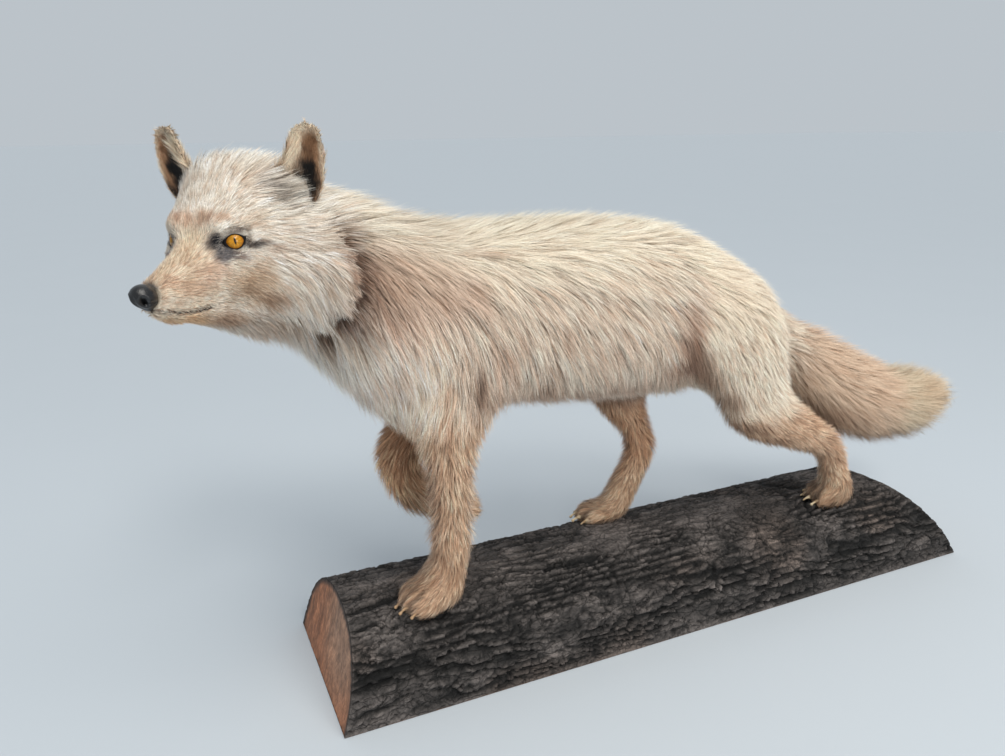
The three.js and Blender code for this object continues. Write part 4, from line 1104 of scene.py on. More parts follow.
NODES_ALONG = 4
ROOT_DEPTH = 0.3
LENGTH_SPREAD, HEIGHT_SPREAD = (0.78, 1.12), (0.66, 1.12)
WAVE_LONG, WAVE_SHORT = 24, 9  # how wide the waves in the coat's lie are
LEAN, CURL = np.radians(10), np.radians(15)  # each tuft's own lean, and how much it curls
SAG = 0.22  # how far a loose tuft hangs down, as a share of its length
FORWARD, RISE = 0.78, 0.62  # how far a standing tuft goes on and up, as shares of its length
DOWN = np.array([0, 0, -1.0])
tree = whole.search()
face_way = unit(way[whole.faces].mean(1))


def traced(face, bary):
    """The middle line of each tuft: it follows the skin while it rises to the coat's height."""
    root = at_face(whole.points, face, bary)
    normal = unit(at_face(whole.normal, face, bary))
    long = at_face(length, face, bary) * random.uniform(*LENGTH_SPREAD, len(root))
    tall = at_face(height, face, bary) * random.uniform(*HEIGHT_SPREAD, len(root))
    loose = at_face(hang, face, bary)
    erect = at_face(stand, face, bary)
    flow = unit(at_face(way, face, bary))
    short = smooth(12 - long, 0, 8)
    bend = np.radians(mix(18, 12, short)) * lumps(root, WAVE_LONG, 21)
    bend = bend + np.radians(mix(18, 10, short)) * lumps(root, WAVE_SHORT, 22)
    bend = bend + LEAN * random.standard_normal(len(root))
    tangent = swung(flow, normal, bend)
    straight_way = tangent
    path = np.empty((len(root), NODES_ALONG, 3))
    up = np.empty_like(path)
    path[:, 0] = root - normal * ROOT_DEPTH
    up[:, 0] = normal
    here, facing = root.copy(), normal.copy()
    step = (long / (NODES_ALONG - 1))[:, None]
    turn = CURL * lumps(root, 4, 23)
    for k in range(1, NODES_ALONG):
        goal = here + tangent * step
        found = [tree.find_nearest(Vector(p)) for p in goal]
        new = np.array([f[0][:] for f in found])
        here_face = np.array([f[2] for f in found])
        facing = unit(mix(facing, whole.face_normal[here_face], 0.6))
        moved = unit(new - here)
        ahead = flat_to(unit(mix(moved, face_way[here_face], 0.35)), facing)
        tangent = swung(ahead, facing, turn * (1 if k == 1 else -1))
        here = new
        t = k / (NODES_ALONG - 1)
        lift = (tall * (1 - (1 - t) ** 1.3))[:, None]
        on_skin = here + facing * lift
        free = root + straight_way * step * k + normal * lift * 0.55 + DOWN * (long * SAG * t * t)[:, None]
        upright = root + (straight_way * FORWARD + normal * RISE) * step * k
        on_skin = mix(on_skin, upright, erect[:, None])
        path[:, k] = mix(on_skin, free, loose[:, None])
        up[:, k] = facing
    return root, normal, path, up


tuft_face, tuft_bary = scatter(density / crowd)
tuft_root, tuft_normal, tuft_path, tuft_up = traced(tuft_face, tuft_bary)
tuft_count = len(tuft_root)
hair_face, hair_bary = scatter(density)
hair_root = at_face(whole.points, hair_face, hair_bary)
hair_normal = unit(at_face(whole.normal, hair_face, hair_bary))
hair_length = at_face(length, hair_face, hair_bary)
hair_width = at_face(width, hair_face, hair_bary)
finder = KDTree(tuft_count)
for i, p in enumerate(tuft_root + tuft_normal * 2.0):
    finder.insert(p, i)
finder.balance()
owner = np.array([finder.find(p)[1] for p in hair_root + hair_normal * 2.0])
hair_label = whole_label[whole.faces[hair_face, 0]]
tuft_label = whole_label[whole.faces[tuft_face, 0]]

# Each hair leaves its own root and closes in on its tuft's line towards the tip.
count = len(hair_root)
t = np.linspace(0, 1, NODES_ALONG)
clumped = mix(0.5, 1.0, smooth(350 - hair_root[:, 2], 0, 50))
clumped = np.where(is_part(hair_label, "head", "tail"), 0.5, clumped)
gather = np.where(random.random(count) < 0.25, 0.1, random.uniform(0.35, 0.8, count)) * clumped
gather = gather * mix(0.55, 1.0, smooth(hair_length, 6, 16))
tuft_groove = np.stack([groove_at(tuft_path[:, k]) for k in range(NODES_ALONG)], 1)

# Tufts that run into the groove from outside end ragged at its edge, and take none of its painted shadow.
EDGE = 0.34  # where along the groove's slope they end
upstream = (tuft_groove[:, 0] < EDGE) & (tuft_groove[:, 1:].max(1) > EDGE)
tuft_cut = np.ones(tuft_count)
for k in range(NODES_ALONG - 1, 0, -1):
    before, after = tuft_groove[:, k - 1], tuft_groove[:, k]
    crossing = (before < EDGE) & (after >= EDGE)
    here = (k - 1 + np.clip((EDGE - before) / np.maximum(after - before, 1e-6), 0, 1)) / (NODES_ALONG - 1)
    tuft_cut = np.where(crossing, here + 0.04, tuft_cut)
ragged = np.clip(tuft_cut * random.uniform(0.8, 1.3, tuft_count), 0.3, 1)
tuft_cut = np.where(upstream, ragged, 1)
offset = hair_root - tuft_root[owner]
path = tuft_path[owner] + offset[:, None, :] * (1 - gather[:, None] * t**1.3)[..., None]
stretch = random.uniform(0.74, 1.08, count) * tuft_cut[owner]
path = path[:, :1] + (path - path[:, :1]) * stretch[:, None, None]
tuft_side = np.cross(tuft_up[owner], unit(tuft_path[owner][:, -1:] - tuft_path[owner][:, :1]))
STRAY_SIDEWAYS, STRAY_UP = 0.045, 0.032  # how far single hairs leave their tuft, as shares of their length
stray = random.standard_normal((count, 1, 1)) * STRAY_SIDEWAYS * hair_length[:, None, None]
path = path + tuft_side * stray * (t**1.5)[None, :, None]
raised = random.standard_normal((count, 1, 1)) * STRAY_UP * hair_length[:, None, None]
path = path + tuft_up[owner] * np.abs(raised) * (t**1.5)[None, :, None]

# Colours: the marking where the hair shows, streaks from tuft to tuft, dark at the root.
tuft_middle = tuft_path[:, 2]
tuft_height = tuft_middle[:, 2]
ear_tuft = is_part(tuft_label, "ear")
head_tuft = is_part(tuft_label, "head")
leg_tuft = is_part(tuft_label, "forearm", "shank", "paw")
hind_tuft = is_part(tuft_label, "rump", "thigh")


def at_tuft(field):
    return at_face(field, tuft_face, tuft_bary)


tuft_ground, tuft_head_share = at_tuft(ground_tint), at_tuft(head_share)
own_ear = at_tuft(on_ears(ear_colour))
# How much the streaks show: least on the back and the ears, most on the legs.
flank = smooth(352 - tuft_height, 0, 60)
flank = np.where(is_part(tuft_label, "neck", "chest", "loin", "rump"), flank, 0.45)
flank = np.where(hind_tuft, smooth(300 - tuft_height, 0, 60) * 0.5, flank)
flank = np.where(leg_tuft, 1.0, np.where(ear_tuft, 0.2, flank))
flank = np.where(head_tuft, 0.32 + 0.3 * smooth(-to_head(tuft_middle)[:, 2], -20, 30), flank)
draw = random.random(tuft_count) + 0.16 * lumps(tuft_middle, 14, 31)
brown_share, pink_share = 0.10 * flank, 0.40 * flank + 0.04
BROWNER, PINKER = np.array([0.72, 0.65, 0.60]), np.array([0.92, 0.84, 0.79])
streak_brown = np.where(draw < brown_share, 0.65, 0.0)
streak_pink = np.where((draw >= brown_share) & (draw < pink_share), 0.7, 0.0)
streak_pale = np.where(draw > 0.72, 0.4, 0.0)
# Pale hairs among the dark ones before the ears and the eyes.
among_ear = at_tuft(np.clip(by_ear, 0, 1)) * 0.75 * (random.random(tuft_count) < 0.4)
among_eye = at_tuft(np.clip(by_eye, 0, 1)) * 0.6 * (random.random(tuft_count) < 0.33)
among = np.maximum(among_ear, among_eye)[:, None]
# Light and dark places of the whole tuft: painted light on the toes and painted shade in their gaps, painted
# light low on the chest and the front of the neck; and how red they are.
lit = 1 + 0.13 * near_toes(tuft_middle, toe_places, 3.0, 9) - 0.45 * near_toes(tuft_middle, toe_gaps, 2.4, 12)
painted_light_low_front = smooth(330 - tuft_height, 0, 40) * smooth(-200 - tuft_middle[:, 0], 0, 30)
painted_light_low_front = painted_light_low_front * is_part(tuft_label, "chest", "neck")
mottled = np.where(head_tuft, 1.4, np.where(leg_tuft, 1.9, 0.5))
mottled = mottled * (0.07 * lumps(tuft_middle, 6, 33) + 0.05 * lumps(tuft_middle, 2.5, 34))
tint_and_painted_light = shaded(WHITE, (1.0, 0.98, 0.985), flank) * lit[:, None]
tint_and_painted_light = tint_and_painted_light * (1 + 0.13 * painted_light_low_front + 0.03 * hind_tuft)[:, None]
tint_and_painted_light = tint_and_painted_light * (1 + mottled[:, None] * np.array([0.8, 1.0, 1.2]))
tint_and_painted_light = tint_and_painted_light * (1 + 0.05 * flank * random.standard_normal(tuft_count))[:, None]


def tuft_colour(node):
    """Each tuft's colour at one of its nodes."""
    colour = markings(tuft_path[:, node], tuft_ground, tuft_head_share, upstream.astype(float))
    colour = np.where(ear_tuft[:, None], own_ear, colour)
    colour = shaded(colour, colour * BROWNER, streak_brown)
    colour = shaded(colour, colour * PINKER, streak_pink)
    bright = smooth(colour.mean(1, keepdims=True), 0.3, 0.6)
    colour = mix(colour, np.minimum(colour * 1.10 + 0.02, 1.0), streak_pale[:, None] * bright)
    return mix(colour, tuft_ground, among) * tint_and_painted_light


near_colour, far_colour = tuft_colour(1), tuft_colour(3)
# Light and dark from hair to hair, darker at the roots, and painted shade in the toes' gaps and in the
# groove.
chance = random.random(count)
tone = np.where(chance < 0.07, 0.80, np.where(chance > 0.85, 1.06, 1.0))
varied = np.where(leg_tuft, 2.2, np.where(head_tuft, 1.7, 1.0))[owner]
tone = 1 + (tone - 1) * (0.3 + 0.7 * flank[owner]) + random.normal(0, 0.035, count) * varied
tone = tone * (1 - 0.4 * at_face(on_body(toe_gap), hair_face, hair_bary))
ROOT_TONE, TIP_TONE = (0.98, 0.92, 0.87), (1.0, 0.995, 0.99)
GROOVE_SHADE = np.array([0.46, 0.56, 0.63])  # how much of each colour the groove's shade takes
hair_colour = mix(near_colour[owner][:, None, :], far_colour[owner][:, None, :], (t**1.2)[None, :, None])
root_shade = np.where(leg_tuft, 0.64, mix(0.88, 0.66, flank))[owner]
shade = mix(root_shade[:, None], 1.02, smooth(t, 0.0, 0.75)[None])
in_groove = at_face(groove, hair_face, hair_bary) * (1 - upstream.astype(float)[owner])
warm = shaded(ROOT_TONE, TIP_TONE, smooth(t, 0.0, 0.6))
shadow = in_groove[:, None, None] * (1 - smooth(t, 0.25, 0.95))[None, :, None] * GROOVE_SHADE
hair_colour = hair_colour * (tone[:, None] * shade)[..., None] * warm[None] * (1 - shadow)
hair_colour = linear(np.clip(hair_colour, 0.01, 0.985))


SHARPNESS = 0.35  # how much of a hair's own slope shows in its shading, the rest is the coat's
TAPERS = {3: (0.8, 1.0, 0.72), 2: (0.85, 0.95)}  # share of its width at each pair of vertices


def hair_mesh(chosen, nodes):
    """Flat tapered locks for the chosen hairs, with a pair of vertices at each node but the last."""
    p = path[chosen][:, nodes]
    tints = hair_colour[chosen][:, nodes]
    n = len(chosen)
    rings = len(nodes) - 1
    ways = np.empty_like(p)
    ways[:, 1:-1] = p[:, 2:] - p[:, :-2]
    ways[:, 0] = p[:, 1] - p[:, 0]
    ways[:, -1] = p[:, -1] - p[:, -2]
    ways = unit(ways)
    up = tuft_up[owner[chosen]][:, nodes]
    flat_side = unit(np.cross(ways, up))
    roll = random.uniform(-0.55, 0.55, n)[:, None, None]
    across = flat_side * np.cos(roll) + np.cross(ways, flat_side) * np.sin(roll)
    half = hair_width[chosen] * random.uniform(0.8, 1.2, n) / 2
    face_up = unit(np.cross(across, ways))
    face_up = face_up * np.where((face_up * up).sum(-1, keepdims=True) < 0, -1.0, 1.0)
    soft = unit(mix(up, face_up, SHARPNESS))
    points = np.empty((n, rings * 2 + 1, 3))
    colours, normals = np.empty_like(points), np.empty_like(points)
    for k, taper in enumerate(TAPERS[rings]):
        reach = across[:, k] * (half * taper)[:, None]
        points[:, 2 * k] = p[:, k] - reach
        points[:, 2 * k + 1] = p[:, k] + reach
        colours[:, 2 * k] = colours[:, 2 * k + 1] = tints[:, k]
        normals[:, 2 * k] = normals[:, 2 * k + 1] = soft[:, k]
    points[:, -1], colours[:, -1], normals[:, -1] = p[:, -1], tints[:, -1], soft[:, -1]
    pattern = []
    for k in range(rings - 1):
        a = 2 * k
        pattern += [(a, a + 1, a + 3), (a, a + 3, a + 2)]
    pattern.append((2 * rings - 2, 2 * rings - 1, 2 * rings))
    pattern = np.array(pattern)
    base = (np.arange(n) * (rings * 2 + 1))[:, None, None]
    return [each.reshape(-1, 3) for each in (points, base + pattern, colours, normals)]


PATCH = 0.003  # how much of the map a hair takes


def unwrapped(places, labels):
    """Where each root lies on a flat map, with a strip for each part: along the part and around it."""
    out = np.zeros((len(places), 2))
    present = np.unique(labels)
    for strip, part in enumerate(present):
        mine = labels == part
        region = whole.points[whole_label == part]
        middle = region.mean(0)
        values, axes = np.linalg.eigh(np.cov((region - middle).T))
        order = np.argsort(values)[::-1]
        axes = axes[:, order]
        flat_region = (region - middle) @ axes
        local = (places[mine] - middle) @ axes
        low_end, high_end = flat_region[:, 0].min(), flat_region[:, 0].max()
        u = (local[:, 0] - low_end) / max(high_end - low_end, 1e-6)
        v = np.arctan2(local[:, 2], local[:, 1]) / (2 * np.pi) + 0.5
        out[mine, 0] = np.clip(u, 0, 1) * 0.99 + 0.004
        out[mine, 1] = (strip + 0.02 + np.clip(v, 0, 1) * 0.95) / len(present)
    return out


fur = Shader("fur", Roughness=0.62, Specular_IOR_Level=0.3, Sheen_Weight=0.12, Sheen_Roughness=0.5)
fur.grained(fur.noise(700, 2), 0.86, 1.06)

# Short hairs, and three in four of the long ones, have one bend less.
LONG_HAIR, DETAILED_SHARE = 12, 0.27
detailed = (hair_length > LONG_HAIR) & (random.random(count) < DETAILED_SHARE)

ALL_NODES, FEWER_NODES = [0, 1, 2, 3], [0, 1, 3]

# The parts whose hair each piece holds, by the starts of their names, and its slot.
COAT_PIECES = {
    "coat_head": (["head"], "pale_coat"),
    "coat_neck": (["neck"], "pale_coat"),
    "coat_chest": (["chest"], "pale_coat"),
    "coat_loin": (["loin"], "pale_coat"),
    "coat_rump": (["rump", "thigh"], "pale_coat"),
    "coat_tail": (["tail"], "pale_coat"),
    "coat_forelegs": (["forearm", "paw_fore"], "leg_coat"),
    "coat_hindlegs": (["shank", "paw_hind"], "leg_coat"),
    "coat_ears": (["ear"], "ear_coat"),
}
MOST_TRIANGLES = 190000


def triangles_of(chunk):
    chosen, nodes = chunk
    return len(chosen) * (2 * len(nodes) - 3)


def in_chunks(mine):
    """The hairs in chunks of one kind each, none with too many triangles, the largest first."""
    chunks = []
    for chosen, nodes in ((mine[detailed[mine]], ALL_NODES), (mine[~detailed[mine]], FEWER_NODES)):
        made = math.ceil(triangles_of((chosen, nodes)) / MOST_TRIANGLES)
        order = chosen[np.argsort(hair_root[chosen, 0], kind="stable")]
        chunks += [(some, nodes) for some in np.array_split(order, made)] if made else []
    return sorted(chunks, key=triangles_of, reverse=True)


def packed(chunks):
    """The chunks in groups that each fit one piece."""
    groups = []
    for chunk in chunks:
        room = [g for g in groups if sum(map(triangles_of, g)) + triangles_of(chunk) <= MOST_TRIANGLES]
        if room:
            room[0].append(chunk)
        else:
            groups.append([chunk])
    return groups


def add_coat_piece(name, group):
    columns = [[], [], [], [], []]
    start = 0
    for chosen, nodes in group:
        points, faces, colours, normals = hair_mesh(chosen, nodes)
        corner = np.arange(2 * len(nodes) - 1)
        patch = np.stack([(corner % 2) * PATCH, (corner // 2) * PATCH / (len(nodes) - 1)], 1)
        spot = unwrapped(hair_root[chosen], hair_label[chosen])
        uvs = (spot[:, None, :] + patch[None]).reshape(-1, 2)
        for column, values in zip(columns, (points, faces + start, colours, normals, uvs)):
            column.append(values)
        start += len(points)
    points, faces, colours, normals, uvs = (np.concatenate(column) for column in columns)
    add_piece(name, points, faces, colours, fur.material, uv=uvs, normals=normals)


for name, (parts, slot) in COAT_PIECES.items():
    groups = packed(in_chunks(np.flatnonzero(is_part(hair_label, *parts))))
    for number, group in enumerate(groups):
        add_coat_piece(name if len(groups) == 1 else f"{name}_{number + 1}", group)

# ---- eyes ---------------------------------------------------------------------------------------

glass = Shader("glass_eye", Roughness=0.5, Specular_IOR_Level=0.1, Coat_Weight=0.7, Coat_Roughness=0.03)
glass.grained(glass.noise(2500, 3), 0.8, 1.1)
YELLOW, AMBER = (0.82, 0.56, 0.05), (0.60, 0.35, 0.02)
IRIS_EDGE, PUPIL = (0.16, 0.08, 0.03), (0.015, 0.012, 0.012)
PUPIL_WIDTH, PUPIL_HEIGHT, PUPIL_LEAN = 0.62, 2.1, 0.15
for name, flip in (("eye_left", BOTH[0]), ("eye_right", BOTH[1])):
    centre, axis, up, across = eye_frame(flip)
    rings, turns = 72, 96
    theta = np.linspace(0, 1, rings) ** 1.15 * np.pi
    phi = np.linspace(0, 2 * np.pi, turns, endpoint=False)
    th, ph = np.meshgrid(theta, phi, indexing="ij")
    bulge = EYE_RADIUS + 0.35 * np.exp(-((th / 0.45) ** 2))
    u, v = bulge * np.sin(th) * np.cos(ph), bulge * np.sin(th) * np.sin(ph)
    w = bulge * np.cos(th)
    points = centre + u[..., None] * across + v[..., None] * up + w[..., None] * axis
    r = np.hypot(u, v)
    radial = lumps(np.stack([np.cos(ph) * 9, np.sin(ph) * 9, r * 0.35], -1), 0.9, 41)
    tone = mix(np.array(YELLOW), np.array(AMBER), smooth(r, 2.8, 5.8)[..., None])
    tone = tone * (0.9 + 0.16 * radial)[..., None]
    tone = mix(tone, np.array(IRIS_EDGE), smooth(r, 5.9, 6.8)[..., None])
    pupil = np.hypot((u + PUPIL_LEAN * v) / PUPIL_WIDTH, v / PUPIL_HEIGHT)
    tone = mix(np.array(PUPIL), tone, smooth(pupil, 0.85, 1.2)[..., None])
    tint = linear(tone.reshape(-1, 3))
    quads = grid_quads(rings, turns, closed=True)
    add_piece(name + "_glass", points.reshape(-1, 3), quads, tint, glass.material, [name])

# ---- nose ---------------------------------------------------------------------------------------

leather = Shader("nose_skin", Roughness=0.26, Coat_Weight=0.25, Coat_Roughness=0.25)
leather.grained(leather.noise(600, 3), 0.75, 1.15)
cells = {"Vector": leather.node("ShaderNodeTexCoord").outputs["Object"], "Scale": 1500.0}
leather.bump(leather.node("ShaderNodeTexVoronoi", cells).outputs["Distance"], 0.0002, 0.6)
NOSE_RADII = [8.3, 7.4, 8.2]
NOSTRIL, SLIT = np.array([0.72, 0.66, -0.16]), np.array([0.35, 0.92, -0.30])
NOSE_BLACK, NOSE_GREY, NOSTRIL_SHADE = (0.05, 0.045, 0.05), (0.24, 0.23, 0.22), (0.02, 0.02, 0.02)
rings, turns = 80, 120
theta = np.linspace(0.001, np.pi - 0.001, rings)
phi = np.linspace(0, 2 * np.pi, turns, endpoint=False)
th, ph = np.meshgrid(theta, phi, indexing="ij")
d = np.stack([np.cos(th), np.sin(th) * np.cos(ph), np.sin(th) * np.sin(ph)], -1).reshape(-1, 3)
form = unit(np.sign(d) * np.abs(d) ** 0.85) * NOSE_RADII
form[:, 2] -= 0.3
form[:, 0] -= 4.6 * smooth(-d[:, 2], -0.1, 0.95)
form[:, 1] *= 1 - 0.42 * smooth(-d[:, 2], -0.2, 1.0)
form[:, 0] += 0.8 * smooth(d[:, 2], 0.0, 0.8)
dark = np.zeros(len(d))
for flip in BOTH:
    angle = np.arccos(np.clip(d @ unit(NOSTRIL * flip), -1, 1))
    form -= d * (3.8 * np.exp(-((angle / 0.31) ** 2)))[:, None]
    form += d * (0.6 * np.exp(-(((angle - 0.46) / 0.16) ** 2)))[:, None]
    t_slit = smooth(d @ unit(SLIT * flip), 0.75, 0.9)
    edge = np.abs(d[:, 2] + 0.30 + 0.12 * (1 - np.abs(d[:, 1])))
    form -= d * (1.3 * t_slit * np.exp(-((edge / 0.10) ** 2)))[:, None]
    dark = np.maximum(dark, np.exp(-((angle / 0.30) ** 2)))
groove_down = smooth(-d[:, 2], -0.35, 0.3) * smooth(d[:, 0], 0.2, 0.7)
form[:, 0] -= 0.9 * np.exp(-((d[:, 1] / 0.09) ** 2)) * groove_down
nose_tone = shaded(NOSE_BLACK, NOSE_GREY, smooth(d[:, 2] - 0.5 * d[:, 0], 0.45, 1.1))
# The nostrils are painted near black: painted shade in their openings.
nose_tint = linear(shaded(nose_tone, NOSTRIL_SHADE, dark))
quads = grid_quads(rings, turns, closed=True)
add_piece("nose_pad", from_head(form + NOSE_AT), quads, nose_tint, leather.material, ["nose"])

# ---- claws --------------------------------------------------------------------------------------

CLAWS = [f"claw_{end}_{side}_{n}" for end in ENDS for side in SIDES for n in CLAW_NUMBERS]
horn = Shader("horn", Roughness=0.35, Coat_Weight=0.2)
horn_grain = horn.noise(500, 3)
horn.grained(horn_grain, 0.75, 1.1)
horn.bump(horn_grain, 0.0002, 0.4)
CLAW_PALE, CLAW_DARK, CLAW_ROOT = (0.84, 0.76, 0.62), (0.66, 0.54, 0.40), (0.62, 0.47, 0.33)
FLAT_ANGLES = {"angle_face_threshold": math.radians(40), "angle_shape_threshold": math.radians(60)}
EVERY_WAY = {"use_axis_x": True, "use_axis_y": True, "use_axis_z": True}
claws = bmesh.new()
for name in CLAWS:
    one = bmesh.new()
    one.from_mesh(CAD[name].data)
    bmesh.ops.remove_doubles(one, verts=one.verts, dist=1e-5)
    bmesh.ops.join_triangles(one, faces=one.faces, **FLAT_ANGLES)
    bmesh.ops.subdivide_edges(one, edges=one.edges, cuts=2, smooth=1.0, use_grid_fill=True)
    bmesh.ops.smooth_vert(one, verts=one.verts, factor=0.5, **EVERY_WAY)
    mesh = bpy.data.meshes.new("one")
    one.to_mesh(mesh)
    claws.from_mesh(mesh)
    bpy.data.meshes.remove(mesh)
    one.free()
bmesh.ops.scale(claws, vec=(1 / MM,) * 3, verts=claws.verts)
claw = surface_of(claws)
claws.free()
claw_tone = shaded(CLAW_PALE, CLAW_DARK, smooth(lumps(claw.points, 4, 51), -0.3, 0.8))
claw_tone = shaded(claw_tone, CLAW_ROOT, 0.7 * smooth(-claw.points[:, 0], 120, 150))
add_piece("claws", claw.points, claw.faces, linear(claw_tone), horn.material, CLAWS)

# ---- the log ------------------------------------------------------------------------------------

LOG_LENGTH, LOG_WIDTH, LOG_HEIGHT, LOG_ROUND = 640.0, 159.0, 73.0, 2.37
LOG_CUTS = {-1: (-2.5, 15.6), 1: (-14.5, -32.5)}  # skew and tilt of the sawn ends, in degrees
LOG_ROWS, LOG_COLUMNS = 520, 176


def log_section(turn):
    """y and z on the round of the log, from its near bottom edge over the top."""
    c, s = np.cos(turn), np.sin(turn)
    y = -np.sign(c) * np.abs(c) ** (2 / LOG_ROUND) * LOG_WIDTH / 2
    return y, np.abs(s) ** (2 / LOG_ROUND) * LOG_HEIGHT


def log_end(side, y, z):
    """x of the sawn end on one side."""
    skew, tilt = (math.tan(math.radians(angle)) for angle in LOG_CUTS[side])
    return side * LOG_LENGTH / 2 + y * skew + z * tilt


# A grid over the round, its columns evenly spaced around it, and the same places on a flat map.
fine_turn = np.linspace(0, np.pi, 4000)
arc = np.concatenate([[0], np.cumsum(np.hypot(*np.diff(log_section(fine_turn))))])
girth = arc[-1]
around = np.linspace(0, girth, LOG_COLUMNS)
y, z = log_section(np.interp(around, arc, fine_turn))
low_x, high_x = log_end(-1, y, z), log_end(1, y, z)
grid = np.empty((LOG_ROWS, LOG_COLUMNS, 3))
grid[..., 0] = low_x[None] + (high_x - low_x)[None] * np.linspace(0, 1, LOG_ROWS)[:, None]
grid[..., 1], grid[..., 2] = y[None], z[None]
flat_map = np.zeros_like(grid)
flat_map[..., 0], flat_map[..., 1] = grid[..., 0], around[None]
q = flat_map.reshape(-1, 3)
warp = lumps3(q, 26, 61) * 8 + lumps3(q, 9, 64) * 3.0
warped = q + warp * [1, 0.8, 0]


def fissures(points, stretch, size, seed, thin):
    """1 along wandering lines, longer than they are apart."""
    return 1 - smooth(np.abs(lumps(points * [1 / stretch, 1, 1], size, seed)), 0.0, thin)


# How deep the bark is sunk: cracks along and across, crumbs, and ledges that overlap upwards.
cracked = smooth(lumps(q * [0.5, 1, 1], 30, 70), -0.35, 0.35)
long_cracks = fissures(warped, 3.8, 13, 71, 0.11) * (0.35 + 0.65 * cracked)
mid_cracks = fissures(warped, 2.4, 8, 72, 0.13) * (1 - 0.5 * cracked)
cross_cracks = fissures(warped, 0.8, 13, 73, 0.07) * smooth(lumps(q, 12, 74), -0.1, 0.4)
border, plate = crackle((q + warp * 0.7) * [1 / 2.4, 1, 1], 8, 75)
crumbs = 1 - smooth(border, 0.02, 0.16)
phase = np.minimum(q[:, 1], girth - q[:, 1]) / 8.5 + 1.5 * lumps(q * [1 / 4, 1, 1], 30, 76)
phase = phase + 0.5 * lumps(warped * [1 / 3, 1, 1], 10, 77) + 0.45 * plate
ledge_deep = (phase - np.floor(phase)) * (0.35 + 0.65 * smooth(lumps(q * [0.5, 1, 1], 22, 78), -0.5, 0.2))
top = np.tile(np.exp(-(((around - girth * 0.5) / 44) ** 2)), LOG_ROWS)
worn = smooth(top + 0.3 * lumps(q, 45, 81), 0.4, 1.05)
grit = lumps(q * [0.7, 1, 1], 3.2, 82) + 0.6 * lumps(q, 1.9, 86)
sunk = long_cracks * mix(3.0, 1.8, worn) + mid_cracks * mix(1.6, 0.6, worn) + cross_cracks * 1.2
sunk += crumbs * mix(1.3, 0.4, worn) + plate * mix(0.8, 0.2, worn) + grit * mix(0.35, 0.2, worn)
sunk += ledge_deep**1.5 * mix(4.6, 1.6, worn)
sunk = np.maximum(sunk, 0).reshape(LOG_ROWS, LOG_COLUMNS)


def from_edge(count):
    """How many steps each of a row of places is from the nearer end of the row."""
    return np.minimum(np.arange(count), np.arange(count)[::-1])


sunk = sunk * smooth(from_edge(LOG_COLUMNS), -1, 4)[None]
sunk = sunk * smooth(from_edge(LOG_ROWS), -2, 3)[:, None]
outward = unit(np.stack([-np.gradient(z), np.gradient(y)], 1))
grid[..., 1:] -= outward[None] * sunk[..., None]
grid[..., 2] = np.maximum(grid[..., 2], 0)
# Darker the deeper the bark is sunk: painted shade in its cracks and painted light on its crests.
crest = 1 - np.clip(sunk.ravel() / 6.0, 0, 1)
bark_lightness_and_painted_shade = mix(0.015, 0.34, crest**1.7) * (1 + 0.25 * lumps(q, 18, 84)) + 0.02 * worn
brown_place = 0.2 + smooth(lumps(q, 60, 85), 0.25, 0.8) * 0.2
bark_tone = bark_lightness_and_painted_shade[:, None] * np.array([1.02, 1.0, 1.0])
bark_tone = bark_tone * shaded(WHITE, (1.25, 1.0, 0.82), brown_place)

bark = Shader("bark", Roughness=0.85, Specular_IOR_Level=0.35)
rough = bark.noise(420, 8, rough=0.72)
spot = bark.node("ShaderNodeTexCoord").outputs["Object"]
wander = bark.node("ShaderNodeTexNoise", {"Vector": spot, "Scale": 80.0, "Detail": 3.0}).outputs["Color"]
WANDER = (0.014, 0.014, 0.014)
wander = bark.node("ShaderNodeVectorMath", {0: wander, 1: WANDER}, operation="MULTIPLY").outputs[0]
moved = bark.node("ShaderNodeVectorMath", {0: spot, 1: wander}, operation="ADD").outputs[0]
cells = bark.node("ShaderNodeMapping", {"Vector": moved, "Scale": (42.0, 125.0, 125.0)}).outputs["Vector"]
crack = bark.node("ShaderNodeTexVoronoi", {"Vector": cells, "Scale": 1.0}, feature="DISTANCE_TO_EDGE")
crack = bark.ramp(crack.outputs["Distance"], 0.0, 0.07, 0.4, 1.0)
stained = bark.scaled(bark.tint(), bark.ramp(rough, 0.35, 0.65, 0.5, 1.5))
# The tint darkened along the fine cracks: painted shade.
bark.link(bark.scaled(stained, crack), "Base Color")
bark.bump(bark.node("ShaderNodeMath", {0: rough, 1: crack}, operation="ADD").outputs[0], 0.0012, 0.9)
quads = grid_quads(LOG_ROWS, LOG_COLUMNS)
bark_tint = linear(np.clip(bark_tone, 0.02, 0.6))
add_piece("log_bark", grid.reshape(-1, 3), quads, bark_tint, bark.material, ["log_base"])

# Sawn ends and the flat underside.
WOOD_PALE, WOOD_RED = (0.62, 0.48, 0.39), (0.63, 0.42, 0.30)
WOOD_EDGE, WOOD_UNDER = (0.12, 0.10, 0.09), (0.42, 0.31, 0.24)
PALE_AT = (-30, 60)  # y and z of the palest place
LAYERS, UNDER_ROWS = 26, 40
shrink = np.linspace(1, 0, LAYERS)
inwards = np.repeat(shrink, LOG_COLUMNS)


